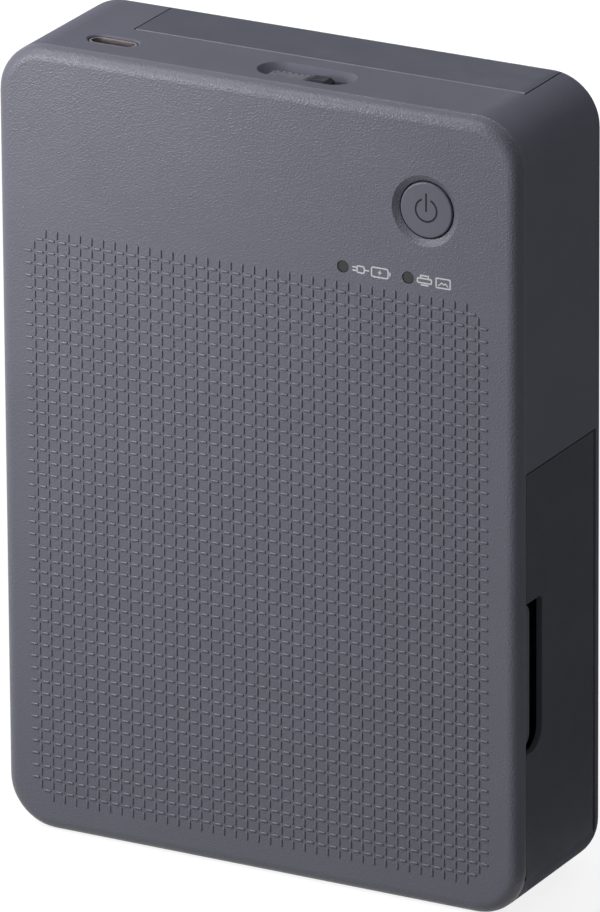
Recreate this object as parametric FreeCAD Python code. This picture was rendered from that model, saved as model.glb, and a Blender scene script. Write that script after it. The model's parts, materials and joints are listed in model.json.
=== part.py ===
import FreeCAD, Part
import math
import os

# Compact photo printer, standing on its lower end face, as it is photographed.
# Millimetres. X runs across the front, Y from the front to the back, Z up.
# The origin is at the middle of the footprint, on the surface it stands on.

# Paper, which the casing is built around
paper_width = 72.0
paper_length = 86.0
paper_stack = 3.0
paper_bottom_z = 54.8

# Casing
cover_lap = 2.0
cover_left_inset = 18.7
cover_right_inset = 7.5
top_margin = 5.0
body_depth = 31.6
foot_height = 1.3
outline_radius = 9.2
front_edge_radius = 2.4
rear_edge_radius = 2.2
wall = 2.0
overrun = 1.0

cover_width = paper_width + cover_lap * 2
width = cover_left_inset + cover_width + cover_right_inset
height = paper_bottom_z + paper_length + top_margin
half_width = width / 2
cover_left_x = cover_left_inset - half_width
cover_right_x = half_width - cover_right_inset
cover_centre_x = (cover_left_x + cover_right_x) / 2
front_y = -(body_depth + foot_height) / 2
rear_y = front_y + body_depth
seam_y = front_y + front_edge_radius
inner_x = half_width - wall
inner_front_y = front_y + wall
inner_rear_y = rear_y - wall
inner_top = height - wall
inner_radius = outline_radius - wall

# Fits
running_gap = 0.05
contact_gap = 0.05
moving_gap = 0.3
cover_gap = 0.25

# Rear cover with its flap over the top end, hinged at its lower edge
cover_bottom_z = 7.5
flap_front_y = -0.1
hinge_barrel_radius = 0.9
hinge_pin_radius = 0.55
hinge_pin_grip = 5.0
foot_radius = 4.0
foot_side_inset = 9.0
foot_low_z = 19.0
foot_top_inset = 14.8
foot_bevel = 0.4
catch_width = 4.0
catch_thickness = 1.2
catch_drop = 3.4
catch_spacing = 22.0
flap_front_gap = 0.15
flap_bevel = 0.3

foot_high_z = height - foot_top_inset
cover_axis_y = rear_y - hinge_barrel_radius
cover_axis_z = cover_bottom_z + hinge_barrel_radius

# Ink door in the right side, hinged at its rear edge
door_bottom_z = 7.2
door_top_z = 82.0
door_front_y = -13.9
door_rear_y = 12.15
door_thickness = 1.1
door_barrel_radius = 1.1
door_pin_radius = 0.4
door_pin_grip = 4.0
door_pin_low_grip = 0.8
jamb_depth = 1.2
jamb_width = 1.0
jamb_overlap = 1.5
notch_bottom_z = 30.45
notch_top_z = 58.4
notch_rear_y = -8.0
notch_radius = 4.0
notch_top_radius = 1.2
snap_length = 1.5
snap_thickness = 1.0
snap_height = 4.0
snap_inset = 6.0

door_axis_x = half_width - door_barrel_radius
door_axis_y = door_rear_y - door_barrel_radius

# Finger well in the door's notch
well_depth = 1.3
well_thickness = 1.6
well_rear_y = -10.3
well_end_gap = 1.0
well_radius = 2.0
grip_rib_count = 9
grip_rib_pitch = 1.8
grip_rib_height = 0.25
grip_rib_width = 0.7
grip_rib_length = 2.4
grip_rib_centre_z = 45.0

# Power button and status lights
button_side_inset = 18.15
button_top_inset = 17.95
button_radius = 5.0
button_edge_radius = 0.3
button_hole_radius = 5.25
button_dish_radius = 6.4
button_dish_depth = 0.75
button_setback = 0.45
button_flange_radius = 6.0
button_flange_thickness = 0.8
button_stem_radius = 1.6
button_travel = 0.4
light_top_inset = 30.5
light_side_insets = (34.05, 21.45)
light_radius = 1.0
light_hole_radius = 1.12
light_setback = 0.12
light_flange_radius = 1.7
light_flange_thickness = 0.6

button_x = half_width - button_side_inset
button_z = height - button_top_inset
light_z = height - light_top_inset
light_xs = tuple(half_width - inset for inset in light_side_insets)

# Opening slider in the top end
slider_offset = 0.1
slider_centre_y = -7.6
slider_recess_length = 18.7
slider_recess_width = 7.5
slider_recess_slope = 1.2
slider_recess_depth = 1.6
slider_travel = 3.0
slider_plate_thickness = 1.2
slider_plate_overlap = 4.5
slider_plate_width = 9.6
slider_nub_length = 4.4
slider_nub_width = 3.8
slider_nub_rise = 1.1
slider_nub_slope = 0.7
slider_nub_radius = 1.0
slider_nub_inset = 0.3
slider_rail_width = 0.9
slider_rail_depth = 2.2
retainer_thickness = 0.8
slider_spring_length = 6.0
slider_spring_radius = 1.0
slider_spring_turns = 5
spring_wire_radius = 0.2

slider_centre_x = cover_centre_x - slider_offset

# USB-C socket and its opening in the top end
usb_side_inset = 18.4
usb_y = -7.4
usb_opening_width = 9.6
usb_opening_depth = 4.2
usb_opening_bevel = 0.25
usb_shell_width = 8.94
usb_shell_depth = 3.26
usb_shell_length = 7.3
usb_shell_wall = 0.3
usb_tongue_width = 6.7
usb_tongue_thickness = 0.7
usb_tongue_setback = 0.9
usb_back_plug = 1.4
usb_mouth_setback = 0.3

usb_x = usb_side_inset - half_width

# Main circuit board, with its front face towards the front cover
board_front_y = -10.03
board_thickness = 1.0
board_left_inset = 8.6
board_right_inset = 7.6
board_bottom_drop = 35.8
board_top_drop = 7.0
board_tab_half_width = 7.5
board_tab_drop = 2.5
board_post_radius = 1.9
board_post_side_inset = 3.5
board_post_low_inset = 3.0
board_post_high_inset = 2.3
board_post_from_usb = 12.7
board_post_from_top = 3.3
board_screw_radius = 0.7
board_screw_head_radius = 1.4
board_screw_head_height = 0.7
board_screw_length = 3.4
switch_size = 4.6
switch_height = 1.5
plunger_radius = 1.15
plunger_rise = 0.6
plunger_depth = 0.5
led_size = 1.6
led_height = 0.8
chip_height = 1.1
shield_size = 14.0
shield_side_inset = 24.1
shield_top_inset = 22.0
shield_height = 1.8
shield_wall = 0.3
header_height = 2.2
header_depth_z = 4.0

# Chips and connectors: distance from the board's left edge, height over its lower edge, then size
chips = ((36.5, 14.0, 11.0, 11.0), (50.5, 19.0, 8.0, 6.0), (20.5, 11.0, 6.0, 8.0))
headers = ((6.5, 6.0, 7.0), (34.5, 3.0, 18.0), (64.5, 1.9, 6.0))

board_left_x = board_left_inset - half_width
board_right_x = half_width - board_right_inset
board_bottom_z = height - board_bottom_drop
board_top_z = height - board_top_drop
board_tab_top_z = height - board_tab_drop
board_posts = (
    (board_left_x + board_post_side_inset, board_bottom_z + board_post_low_inset),
    (board_right_x - board_post_side_inset, board_bottom_z + board_post_low_inset),
    (usb_x + board_post_from_usb, board_top_z - board_post_from_top),
    (board_right_x - board_post_side_inset, board_top_z - board_post_high_inset),
)
shield_x = half_width - shield_side_inset
shield_z = height - shield_top_inset

# Casing screws, driven from the back into posts of the front cover
screw_left_inset = 5.7
screw_right_inset = 4.8
screw_low_z = 10.0
screw_left_drop = 11.8
screw_right_drop = 14.8
screw_over_door = 6.0
screw_post_radius = 2.6
screw_post_split_y = -4.0
screw_seat_y = -1.0
screw_head_radius = 1.7
screw_head_height = 1.2
screw_radius = 0.8
screw_length = 8.0
screw_well_radius = 1.9
screw_clearance_radius = 1.0
screw_pilot_radius = 0.85

screw_left_x = screw_left_inset - half_width
screw_right_x = half_width - screw_right_inset
screw_places = (
    (screw_left_x, screw_low_z),
    (screw_left_x, height - screw_left_drop),
    (screw_right_x, door_top_z + screw_over_door),
    (screw_right_x, height - screw_right_drop),
)

# Print engine frame plates
engine_side_margin = 1.4
plate_thickness = 1.0
plate_top_z = 84.5
plate_front_y = -14.3
plate_rear_y = 12.6
plate_step_z = 53.0
plate_foot_length = 7.0
plate_foot_depth = 6.0
plate_screw_length = 1.3

engine_half_width = cover_width / 2 + engine_side_margin
left_plate_x = cover_centre_x - engine_half_width
right_plate_x = cover_centre_x + engine_half_width
left_plate_outer_x = left_plate_x - plate_thickness
right_plate_outer_x = right_plate_x + plate_thickness

# Gears, in two layers beside the left plate
gear_module = 0.5
gear_thickness = 1.2
layer_gap = 0.4
gear_backlash = 0.12
pressure_degrees = 20.0
flank_points = 4
addendum_share = 0.8
dedendum_share = 1.15
pinion_teeth = 14
reduction_teeth = 36
capstan_teeth = 20
platen_teeth = 14
pickup_teeth = 16
swing_idler_teeth = 16
tall_idler_teeth = 18
spool_teeth = 28
gear_pin_radius = 0.9
gear_hub_radius = 1.6
bracket_thickness = 0.8
bracket_bottom_z = 12.0
bracket_top_z = 66.0
bracket_low_z = 30.0
bracket_high_z = 62.5
bracket_front_y = -11.6
bracket_rear_y = 10.3
bracket_post_radius = 1.3
bracket_screw_head_radius = 1.1
bracket_screw_head_height = 0.6
bracket_screw_radius = 0.5
motor_radius = 7.0
motor_length = 7.6
motor_shaft_radius = 0.7
motor_shaft_clearance = 0.2

bracket_posts = (
    (bracket_rear_y, bracket_low_z),
    (bracket_front_y, bracket_low_z),
    (bracket_front_y, bracket_high_z),
)
pressure_angle = math.radians(pressure_degrees)
near_layer_x = left_plate_outer_x - layer_gap
far_layer_x = near_layer_x - gear_thickness - layer_gap
bracket_x = far_layer_x - gear_thickness - layer_gap
motor_x = bracket_x - bracket_thickness

# Rollers: places are (y, z) of their axes
paper_path_y = 5.1
paper_gap = 0.35
platen_z = 41.0
platen_radius = 3.6
platen_shaft_radius = 1.5
capstan_z = 50.5
capstan_radius = 1.9
capstan_end_radius = 1.3
pinch_radius = 1.6
pinch_shaft_radius = 0.8
pickup_z = 77.0
pickup_radius = 3.5
pickup_shaft_radius = 1.3
pickup_length = 24.0
roller_inset = 2.6
bush_wall = 0.8
shaft_overhang = 0.6

# Paper tray, paper and lifting plate
tray_floor_front_y = 6.7
tray_floor_thickness = 1.0
tray_wall = 1.1
tray_bottom_z = 53.5
tray_wall_rear_y = 12.85
paper_side_gap = 0.5
paper_face_gap = 0.1
lift_plate_thickness = 0.8
lift_plate_inset = 1.4
lift_plate_shortening = 12.0
lift_plate_gap = 0.2
lift_spring_radius = 2.8
lift_spring_turns = 2
lift_spring_inset = 14.0
tray_ledge_width = 2.6
tray_ledge_drop = 51.8
tray_screw_radius = 0.6
tray_screw_head_radius = 1.2
tray_screw_head_height = 0.6
tray_screw_length = 4.0
tray_screw_low_drop = 45.8
tray_screw_high_drop = 9.8

lift_plate_length = paper_length - lift_plate_shortening
tray_ledge_bottom_z = height - tray_ledge_drop
tray_screw_low_z = height - tray_screw_low_drop
tray_screw_high_z = height - tray_screw_high_drop
tray_floor_rear_y = tray_floor_front_y + tray_floor_thickness
paper_front_y = tray_floor_rear_y + paper_face_gap
paper_rear_y = paper_front_y + paper_stack
platen_y = paper_path_y + paper_gap + platen_radius
capstan_y = paper_path_y + paper_gap / 2 + capstan_radius
pinch_y = paper_path_y - paper_gap / 2 - pinch_radius
pickup_y = paper_front_y - paper_face_gap - pickup_radius

# Exit guide over the paper slot in the lower end
slot_depth = 2.0
guide_wall = 0.8
guide_rear_top_z = 34.0
guide_front_top_z = 10.0
guide_end_height = 6.0

# Ink cassette
spool_y = -5.0
take_up_z = 19.0
supply_z = 64.0
lobe_radius = 7.4
lobe_wall = 0.8
lobe_mouth_front = 3.0
lobe_mouth_rear = 6.6
cassette_gap = 0.5
cassette_end = 0.8
spool_core_radius = 2.4
full_roll_radius = 5.4
used_roll_radius = 3.6
bridge_front_y = 4.2
bridge_thickness = 0.8
bridge_web_height = 8.0
bridge_clearance = 0.1
spindle_radius = 1.5
spindle_reach = 4.0
film_thickness = 0.1
film_side_inset = 1.5
cassette_left_x = left_plate_x + cassette_gap
cassette_right_x = right_plate_outer_x + layer_gap + cassette_end

# Thermal head on its swinging arm
arm_pivot_y = -6.0
arm_pivot_z = 52.0
arm_pivot_radius = 1.0
arm_sheet = 0.8
arm_ear_margin = 0.5
arm_side_inset = 2.2
head_block_front_y = -6.8
head_block_bottom_z = 33.0
head_block_top_z = 44.0
head_nose_height = 1.2
head_fin_count = 4
head_fin_depth = 2.6
head_fin_thickness = 1.0
head_board_thickness = 1.2
head_bead_radius = 1.3
head_board_bottom_z = 34.6
head_board_top_z = 43.0
head_film_gap = 0.15
crossbar_thickness = 0.8
crossbar_bottom_z = 29.0
crossbar_top_z = 55.0
head_spring_radius = 1.7
head_spring_turns = 5
head_spring_inset = 16.0
head_spring_z = 39.0

# Battery pack against the tray
battery_left_inset = 16.4
battery_right_inset = 0.6
battery_bottom_z = 84.0
battery_top_drop = 11.8
battery_thickness = 8.0
battery_corner = 2.0
battery_seam_gap = 0.6
lead_radius = 0.6

battery_left_x = cover_left_x + battery_left_inset
battery_right_x = cover_right_x - battery_right_inset
battery_top_z = height - battery_top_drop

# Directions, in degrees, in which one gear lies from the next
reduction_direction = 170.0
feed_motor_direction = 250.0
ribbon_motor_direction = 20.0
tall_idler_direction = 95.0


def vec(x, y, z):
    return FreeCAD.Vector(x, y, z)


def box(x0, x1, y0, y1, z0, z1):
    return Part.makeBox(x1 - x0, y1 - y0, z1 - z0, vec(x0, y0, z0))


def rod_x(radius, x0, x1, y, z):
    return Part.makeCylinder(radius, x1 - x0, vec(x0, y, z), vec(1, 0, 0))


def rod_y(radius, y0, y1, x, z):
    return Part.makeCylinder(radius, y1 - y0, vec(x, y0, z), vec(0, 1, 0))


def rod_z(radius, z0, z1, x, y):
    return Part.makeCylinder(radius, z1 - z0, vec(x, y, z0), vec(0, 0, 1))


def tube_x(outer, inner, x0, x1, y, z):
    bore = rod_x(inner, x0 - overrun, x1 + overrun, y, z)
    return rod_x(outer, x0, x1, y, z).cut(bore)


def fuse(shapes):
    whole = shapes[0]
    for shape in shapes[1:]:
        whole = whole.fuse(shape)
    return whole.removeSplitter()


def cut(shape, tools):
    for tool in tools:
        shape = shape.cut(tool)
    return shape


def save(node, shapes):
    solids = [solid for shape in shapes for solid in shape.Solids]
    whole = solids[0] if len(solids) == 1 else Part.makeCompound(solids)
    whole.exportStep("parts/" + node + ".step")


def face_edges(shape, y):
    # edges that lie wholly in the plane at this y
    found = []
    for edge in shape.Edges:
        bounds = edge.BoundBox
        if abs(bounds.YMin - y) < contact_gap and abs(bounds.YMax - y) < contact_gap:
            found.append(edge)
    return found


def slab(inset, radius, y0, y1):
    # the casing's outline, inset, as a slab between two planes across Y
    left = -half_width + inset
    base = box(left, -left, y0, y1, inset, height - inset)
    corners = []
    for edge in base.Edges:
        bounds = edge.BoundBox
        if bounds.YMax - bounds.YMin > (y1 - y0) / 2:
            corners.append(edge)
    return base.makeFillet(radius, corners)


def casing_solid():
    whole = slab(0, outline_radius, front_y, rear_y)
    whole = whole.makeFillet(front_edge_radius, face_edges(whole, front_y))
    return whole.makeFillet(rear_edge_radius, face_edges(whole, rear_y))


def stadium(length, depth, x, y, z):
    # a closed wire in a plane across Z, with its long side along X
    radius = depth / 2
    half = length / 2 - radius
    top = Part.LineSegment(vec(x - half, y + radius, z), vec(x + half, y + radius, z))
    right = Part.Arc(
        vec(x + half, y + radius, z), vec(x + half + radius, y, z), vec(x + half, y - radius, z)
    )
    low = Part.LineSegment(vec(x + half, y - radius, z), vec(x - half, y - radius, z))
    left = Part.Arc(
        vec(x - half, y - radius, z), vec(x - half - radius, y, z), vec(x - half, y + radius, z)
    )
    return Part.Wire([piece.toShape() for piece in (top, right, low, left)])


def stadium_block(length, depth, x, y, z0, z1):
    return Part.Face(stadium(length, depth, x, y, z0)).extrude(vec(0, 0, z1 - z0))


def plate_yz(points, x0, x1):
    corners = [vec(x0, y, z) for y, z in points]
    wire = Part.makePolygon(corners + corners[:1])
    return Part.Face(wire).extrude(vec(x1 - x0, 0, 0))


def spring(radius, wire, turns, length, base, axis):
    # an open coil whose length includes the wire's own thickness
    pitch = (length - wire * 2) / turns
    helix = Part.makeHelix(pitch, pitch * turns, radius)
    section = Part.Wire(Part.makeCircle(wire, vec(radius, 0, 0), vec(0, 1, 0)))
    coil = Part.Wire(helix).makePipeShell([section], True, True)
    coil.translate(vec(0, 0, wire))
    turn = FreeCAD.Rotation(vec(0, 0, 1), axis)
    coil.Placement = FreeCAD.Placement(base, turn).multiply(coil.Placement)
    return coil


def involute(angle):
    return math.tan(angle) - angle


def gear_radius(teeth):
    return gear_module * teeth / 2


def gear(teeth, y, z, phase, x_outer, bore):
    # a spur gear whose inner face is at x_outer + gear_thickness, one tooth centred on phase
    pitch_radius = gear_radius(teeth)
    base_radius = pitch_radius * math.cos(pressure_angle)
    tip = pitch_radius + gear_module * addendum_share
    root = pitch_radius - gear_module * dedendum_share
    half_tooth = (math.pi * gear_module / 2 - gear_backlash) / 2 / pitch_radius
    low = max(base_radius, root)
    points = []
    for tooth in range(teeth):
        centre = phase + tooth * 2 * math.pi / teeth
        flank = []
        for step in range(flank_points):
            radius = low + (tip - low) * step / (flank_points - 1)
            spread = half_tooth + involute(pressure_angle)
            spread -= involute(math.acos(min(1.0, base_radius / radius)))
            flank.append((radius, spread))
        outline = [(root, -flank[0][1])] if root < low else []
        outline += [(radius, -spread) for radius, spread in flank]
        outline += [(radius, spread) for radius, spread in reversed(flank)]
        outline += [(root, flank[0][1])] if root < low else []
        for radius, spread in outline:
            angle = centre + spread
            points.append((y + radius * math.cos(angle), z + radius * math.sin(angle)))
    blank = plate_yz(points, x_outer, x_outer + gear_thickness)
    return blank.cut(rod_x(bore, x_outer - overrun, x_outer + gear_thickness + overrun, y, z))


def meshing_phase(place, teeth, phase, other, other_teeth):
    # the phase that puts a second gear's space over the first gear's tooth
    line = math.atan2(other[1] - place[1], other[0] - place[0])
    return line + math.pi - (phase - line) * teeth / other_teeth - math.pi / other_teeth


def beside(place, distance, degrees):
    angle = math.radians(degrees)
    return (place[0] + distance * math.cos(angle), place[1] + distance * math.sin(angle))


def between(first, first_distance, second, second_distance):
    # the point at both distances, on the side towards the front
    dy = second[0] - first[0]
    dz = second[1] - first[1]
    span = math.hypot(dy, dz)
    along = (span**2 + first_distance**2 - second_distance**2) / (2 * span)
    off = math.sqrt(max(first_distance**2 - along**2, 0))
    middle = (first[0] + dy * along / span, first[1] + dz * along / span)
    sides = [
        (middle[0] - side * dz * off / span, middle[1] + side * dy * off / span) for side in (1, -1)
    ]
    return min(sides)


# Places of the gear and roller axes
platen = (platen_y, platen_z)
capstan = (capstan_y, capstan_z)
pinch = (pinch_y, capstan_z)
pickup = (pickup_y, pickup_z)
take_up = (spool_y, take_up_z)
supply = (spool_y, supply_z)
small_radius = gear_radius(pinion_teeth)
capstan_gear_radius = gear_radius(capstan_teeth)
reduction = beside(capstan, capstan_gear_radius + small_radius, reduction_direction)
feed_motor = beside(reduction, gear_radius(reduction_teeth) + small_radius, feed_motor_direction)
ribbon_motor = beside(take_up, gear_radius(spool_teeth) + small_radius, ribbon_motor_direction)
swing_idler = between(
    capstan,
    capstan_gear_radius + gear_radius(swing_idler_teeth),
    platen,
    gear_radius(platen_teeth) + gear_radius(swing_idler_teeth),
)
lower_idler = beside(
    capstan, capstan_gear_radius + gear_radius(tall_idler_teeth), tall_idler_direction
)
upper_idler = between(
    lower_idler,
    gear_radius(tall_idler_teeth) * 2,
    pickup,
    gear_radius(tall_idler_teeth) + gear_radius(pickup_teeth),
)

# Tooth phases, each worked out from the gear before it
capstan_phase = 0.0
reduction_phase = meshing_phase(capstan, capstan_teeth, capstan_phase, reduction, pinion_teeth)
feed_pinion_phase = meshing_phase(
    reduction, reduction_teeth, reduction_phase, feed_motor, pinion_teeth
)
swing_phase = meshing_phase(capstan, capstan_teeth, capstan_phase, swing_idler, swing_idler_teeth)
platen_phase = meshing_phase(swing_idler, swing_idler_teeth, swing_phase, platen, platen_teeth)
lower_phase = meshing_phase(capstan, capstan_teeth, capstan_phase, lower_idler, tall_idler_teeth)
upper_phase = meshing_phase(
    lower_idler, tall_idler_teeth, lower_phase, upper_idler, tall_idler_teeth
)
pickup_phase = meshing_phase(upper_idler, tall_idler_teeth, upper_phase, pickup, pickup_teeth)
spool_phase = 0.0
ribbon_pinion_phase = meshing_phase(take_up, spool_teeth, spool_phase, ribbon_motor, pinion_teeth)

near_gear_x = near_layer_x - gear_thickness
far_gear_x = far_layer_x - gear_thickness
shaft_left_x = near_gear_x - layer_gap / 2
shaft_right_x = right_plate_outer_x + shaft_overhang


def front_cover():
    shell = casing_solid().common(box(-half_width, half_width, front_y, seam_y, 0, height))
    shell = shell.cut(slab(wall, inner_radius, inner_front_y, seam_y + overrun))
    posts = []
    for x, z in screw_places:
        posts.append(rod_y(screw_post_radius, inner_front_y, screw_post_split_y, x, z))
    for x, z in board_posts:
        posts.append(rod_y(board_post_radius, inner_front_y, board_front_y, x, z))
    posts = [post.common(slab(wall + contact_gap, inner_radius, front_y, rear_y)) for post in posts]
    shell = fuse([shell] + posts)
    holes = []
    for x, z in screw_places:
        tip = screw_seat_y - screw_length
        holes.append(rod_y(screw_pilot_radius, tip - contact_gap, screw_post_split_y + overrun, x, z))
    for x, z in board_posts:
        tip = board_front_y + board_thickness - board_screw_length
        holes.append(rod_y(board_screw_radius, tip - contact_gap, board_front_y + overrun, x, z))
    for x in light_xs:
        holes.append(rod_y(light_hole_radius, front_y - overrun, seam_y, x, light_z))
    holes.append(rod_y(button_hole_radius, front_y - overrun, seam_y, button_x, button_z))
    dish = Part.makeCone(
        button_dish_radius,
        button_hole_radius,
        button_dish_depth,
        vec(button_x, front_y, button_z),
        vec(0, 1, 0),
    )
    save("front_cover", [cut(shell, holes + [dish])])


def cover_region(side_gap, front_gap):
    # the rear cover's part of the casing wall, grown by the gaps round it
    left = cover_left_x - side_gap
    right = cover_right_x + side_gap
    front = flap_front_y - front_gap
    return box(left, right, front, rear_y + overrun, cover_axis_z, height + overrun)


def cover_barrel(radius, grow):
    return rod_x(radius, cover_left_x - grow, cover_right_x + grow, cover_axis_y, cover_axis_z)


def rear_cover():
    wall_region = cover_region(0, 0).cut(slab(wall, inner_radius, front_y, inner_rear_y))
    shell = casing_solid().common(wall_region)
    rim = [edge for edge in face_edges(shell, flap_front_y) if edge.BoundBox.ZMin > height - contact_gap]
    shell = shell.makeChamfer(flap_bevel, rim)
    catches = []
    for side in (-1, 1):
        x = cover_centre_x + side * catch_spacing / 2
        y = flap_front_y + catch_thickness
        catches.append(
            box(
                x - catch_width / 2,
                x + catch_width / 2,
                flap_front_y,
                y,
                inner_top - catch_drop + overrun,
                inner_top,
            )
        )
    shell = fuse([shell, cover_barrel(hinge_barrel_radius, 0)] + catches)
    bores = []
    bore_radius = hinge_pin_radius + running_gap
    for x0 in (cover_left_x - overrun, cover_right_x - hinge_pin_grip - overrun):
        x1 = x0 + hinge_pin_grip + overrun * 2
        bores.append(rod_x(bore_radius, x0, x1, cover_axis_y, cover_axis_z))
    save("rear_cover", [cut(shell, bores)])


def hinge_pins():
    pins = []
    reach = hinge_pin_grip - running_gap
    for side, edge in ((-1, cover_left_x), (1, cover_right_x)):
        inside = edge - side * reach
        outside = edge + side * (cover_gap + hinge_pin_grip)
        x0, x1 = sorted((inside, outside))
        pins.append(rod_x(hinge_pin_radius, x0, x1, cover_axis_y, cover_axis_z))
    reach = door_pin_grip - running_gap
    for side, edge, grip in door_pin_ends():
        z0, z1 = sorted((edge - side * reach, edge + side * (cover_gap + grip)))
        pins.append(rod_z(door_pin_radius, z0, z1, door_axis_x, door_axis_y))
    save("hinge_pins", pins)


def door_pin_ends():
    # the lower pin is short, because the casing's corner rounds away below it
    return (-1, door_bottom_z, door_pin_low_grip), (1, door_top_z, door_pin_grip)


def rubber_feet():
    feet = []
    for x in (cover_left_x + foot_side_inset, cover_right_x - foot_side_inset):
        for z in (foot_low_z, foot_high_z):
            foot = rod_y(foot_radius, rear_y, rear_y + foot_height, x, z)
            feet.append(foot.makeChamfer(foot_bevel, face_edges(foot, rear_y + foot_height)))
    save("rubber_feet", feet)


def finger_well():
    # a shelf inside the door's notch, with small grip ribs on it
    x1 = half_width - well_depth
    x0 = x1 - well_thickness
    z0 = notch_bottom_z + well_end_gap
    z1 = notch_top_z - well_end_gap
    shelf = box(x0, x1, seam_y, well_rear_y, z0, z1)
    corners = []
    for edge in shelf.Edges:
        bounds = edge.BoundBox
        if bounds.XMax - bounds.XMin > well_thickness / 2 and bounds.YMin > seam_y + well_radius:
            corners.append(edge)
    pieces = [shelf.makeFillet(well_radius, corners)]
    for number in range(grip_rib_count):
        z = grip_rib_centre_z + (number - (grip_rib_count - 1) / 2) * grip_rib_pitch
        z -= grip_rib_width / 2
        x2 = x1 + grip_rib_height
        rib_y = seam_y + grip_rib_length
        pieces.append(box(x1 - well_thickness / 2, x2, seam_y, rib_y, z, z + grip_rib_width))
    return pieces


def door_jamb():
    # an upright that the door's front edge closes against, carrying the finger well
    x1 = half_width - door_thickness - cover_gap
    x0 = x1 - jamb_depth
    z0 = door_bottom_z - cover_gap - jamb_overlap
    z1 = door_top_z + cover_gap + jamb_overlap
    jamb = box(x0, x1, seam_y, seam_y + jamb_width, z0, z1)
    return jamb.common(slab(door_thickness, inner_radius, front_y, rear_y))


def main_housing():
    shell = casing_solid().cut(slab(wall, inner_radius, front_y - overrun, inner_rear_y))
    shell = shell.cut(box(-width, width, front_y - overrun, seam_y, -overrun, height + overrun))
    cover_hole = cover_region(cover_gap, flap_front_gap)
    barrel_hole = box(
        cover_left_x - cover_gap,
        cover_right_x + cover_gap,
        inner_rear_y - overrun,
        rear_y + overrun,
        cover_bottom_z - cover_gap,
        cover_axis_z + overrun,
    )
    door_hole = box(
        inner_x - overrun,
        half_width + overrun,
        seam_y - overrun,
        door_rear_y + cover_gap,
        door_bottom_z - cover_gap,
        door_top_z + cover_gap,
    )
    shell = cut(shell, [cover_hole, barrel_hole, door_hole])
    additions = []
    for x, z in screw_places:
        additions.append(rod_y(screw_post_radius, screw_post_split_y, inner_rear_y, x, z))
    additions += door_pin_lugs()
    additions += slider_rails()
    additions += tray_ledges()
    for index, piece in enumerate(additions):
        additions[index] = piece.common(slab(wall - contact_gap, inner_radius, front_y, rear_y))
    shell = fuse([shell, door_jamb()] + finger_well() + additions)
    holes = []
    for x, z in screw_places:
        holes.append(rod_y(screw_clearance_radius, screw_post_split_y - overrun, rear_y, x, z))
        holes.append(rod_y(screw_well_radius, screw_seat_y, rear_y + overrun, x, z))
    holes += top_openings()
    holes += hinge_sockets()
    slot_y = paper_path_y
    holes.append(
        box(
            cover_centre_x - paper_width / 2 - paper_side_gap,
            cover_centre_x + paper_width / 2 + paper_side_gap,
            slot_y - slot_depth / 2,
            slot_y + slot_depth / 2,
            -overrun,
            wall + overrun,
        )
    )
    for x in plate_screw_places():
        depth = wall - plate_screw_length - contact_gap
        holes.append(rod_z(board_screw_radius, depth, wall + overrun, x, plate_screw_y()))
    for x in tray_ledge_places():
        for z in (tray_screw_low_z, tray_screw_high_z):
            y0 = tray_floor_rear_y - overrun
            y1 = tray_floor_front_y + tray_screw_length + contact_gap
            holes.append(rod_y(tray_screw_radius, y0, y1, x, z))
    save("main_housing", [cut(shell, holes)])


def top_openings():
    mouth = stadium_block(
        usb_opening_width, usb_opening_depth, usb_x, usb_y, inner_top - overrun, height + overrun
    )
    flare = usb_opening_bevel * 2
    narrow = stadium(
        usb_opening_width, usb_opening_depth, usb_x, usb_y, height - usb_opening_bevel
    )
    wide = stadium(usb_opening_width + flare, usb_opening_depth + flare, usb_x, usb_y, height)
    rim = Part.makeLoft([narrow, wide], True, True)
    floor_length = slider_recess_length - slider_recess_slope * 2
    floor_width = slider_recess_width - slider_recess_slope * 2
    floor_z = height - slider_recess_depth
    upper = stadium(
        slider_recess_length, slider_recess_width, slider_centre_x, slider_centre_y, height
    )
    lower = stadium(floor_length, floor_width, slider_centre_x, slider_centre_y, floor_z)
    slope = Part.makeLoft([lower, upper], True, True)
    through = stadium_block(
        floor_length, floor_width, slider_centre_x, slider_centre_y, inner_top - overrun, floor_z
    )
    return [mouth, rim, slope, through]


def hinge_sockets():
    # blind holes that hold the hinge pins' outer ends
    sockets = []
    radius = hinge_pin_radius + running_gap / 2
    for side, edge in ((-1, cover_left_x), (1, cover_right_x)):
        end = edge + side * (cover_gap + hinge_pin_grip + running_gap)
        x0, x1 = sorted((edge, end))
        sockets.append(rod_x(radius, x0, x1, cover_axis_y, cover_axis_z))
    radius = door_pin_radius + running_gap / 2
    for side, edge, grip in door_pin_ends():
        end = edge + side * (cover_gap + grip + running_gap)
        z0, z1 = sorted((edge, end))
        sockets.append(rod_z(radius, z0, z1, door_axis_x, door_axis_y))
    return sockets


def door_pin_lugs():
    # thick places above and below the door that hold its pins
    lugs = []
    size = door_barrel_radius + wall / 2
    for z0, z1 in (
        (wall, door_bottom_z - cover_gap),
        (door_top_z + cover_gap, door_top_z + cover_gap + door_pin_grip + wall / 2),
    ):
        lugs.append(
            box(door_axis_x - size, half_width - wall / 2, door_axis_y - size, inner_rear_y, z0, z1)
        )
    return lugs


def slider_rail_ys():
    near = slider_centre_y - slider_plate_width / 2 - contact_gap
    far = slider_centre_y + slider_plate_width / 2 + contact_gap
    return near, far


def slider_span():
    floor_length = slider_recess_length - slider_recess_slope * 2
    floor_left = slider_centre_x - floor_length / 2
    floor_right = slider_centre_x + floor_length / 2
    left = floor_left - slider_plate_overlap
    right = floor_right + slider_plate_overlap - slider_travel / 2
    return left, right


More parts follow.
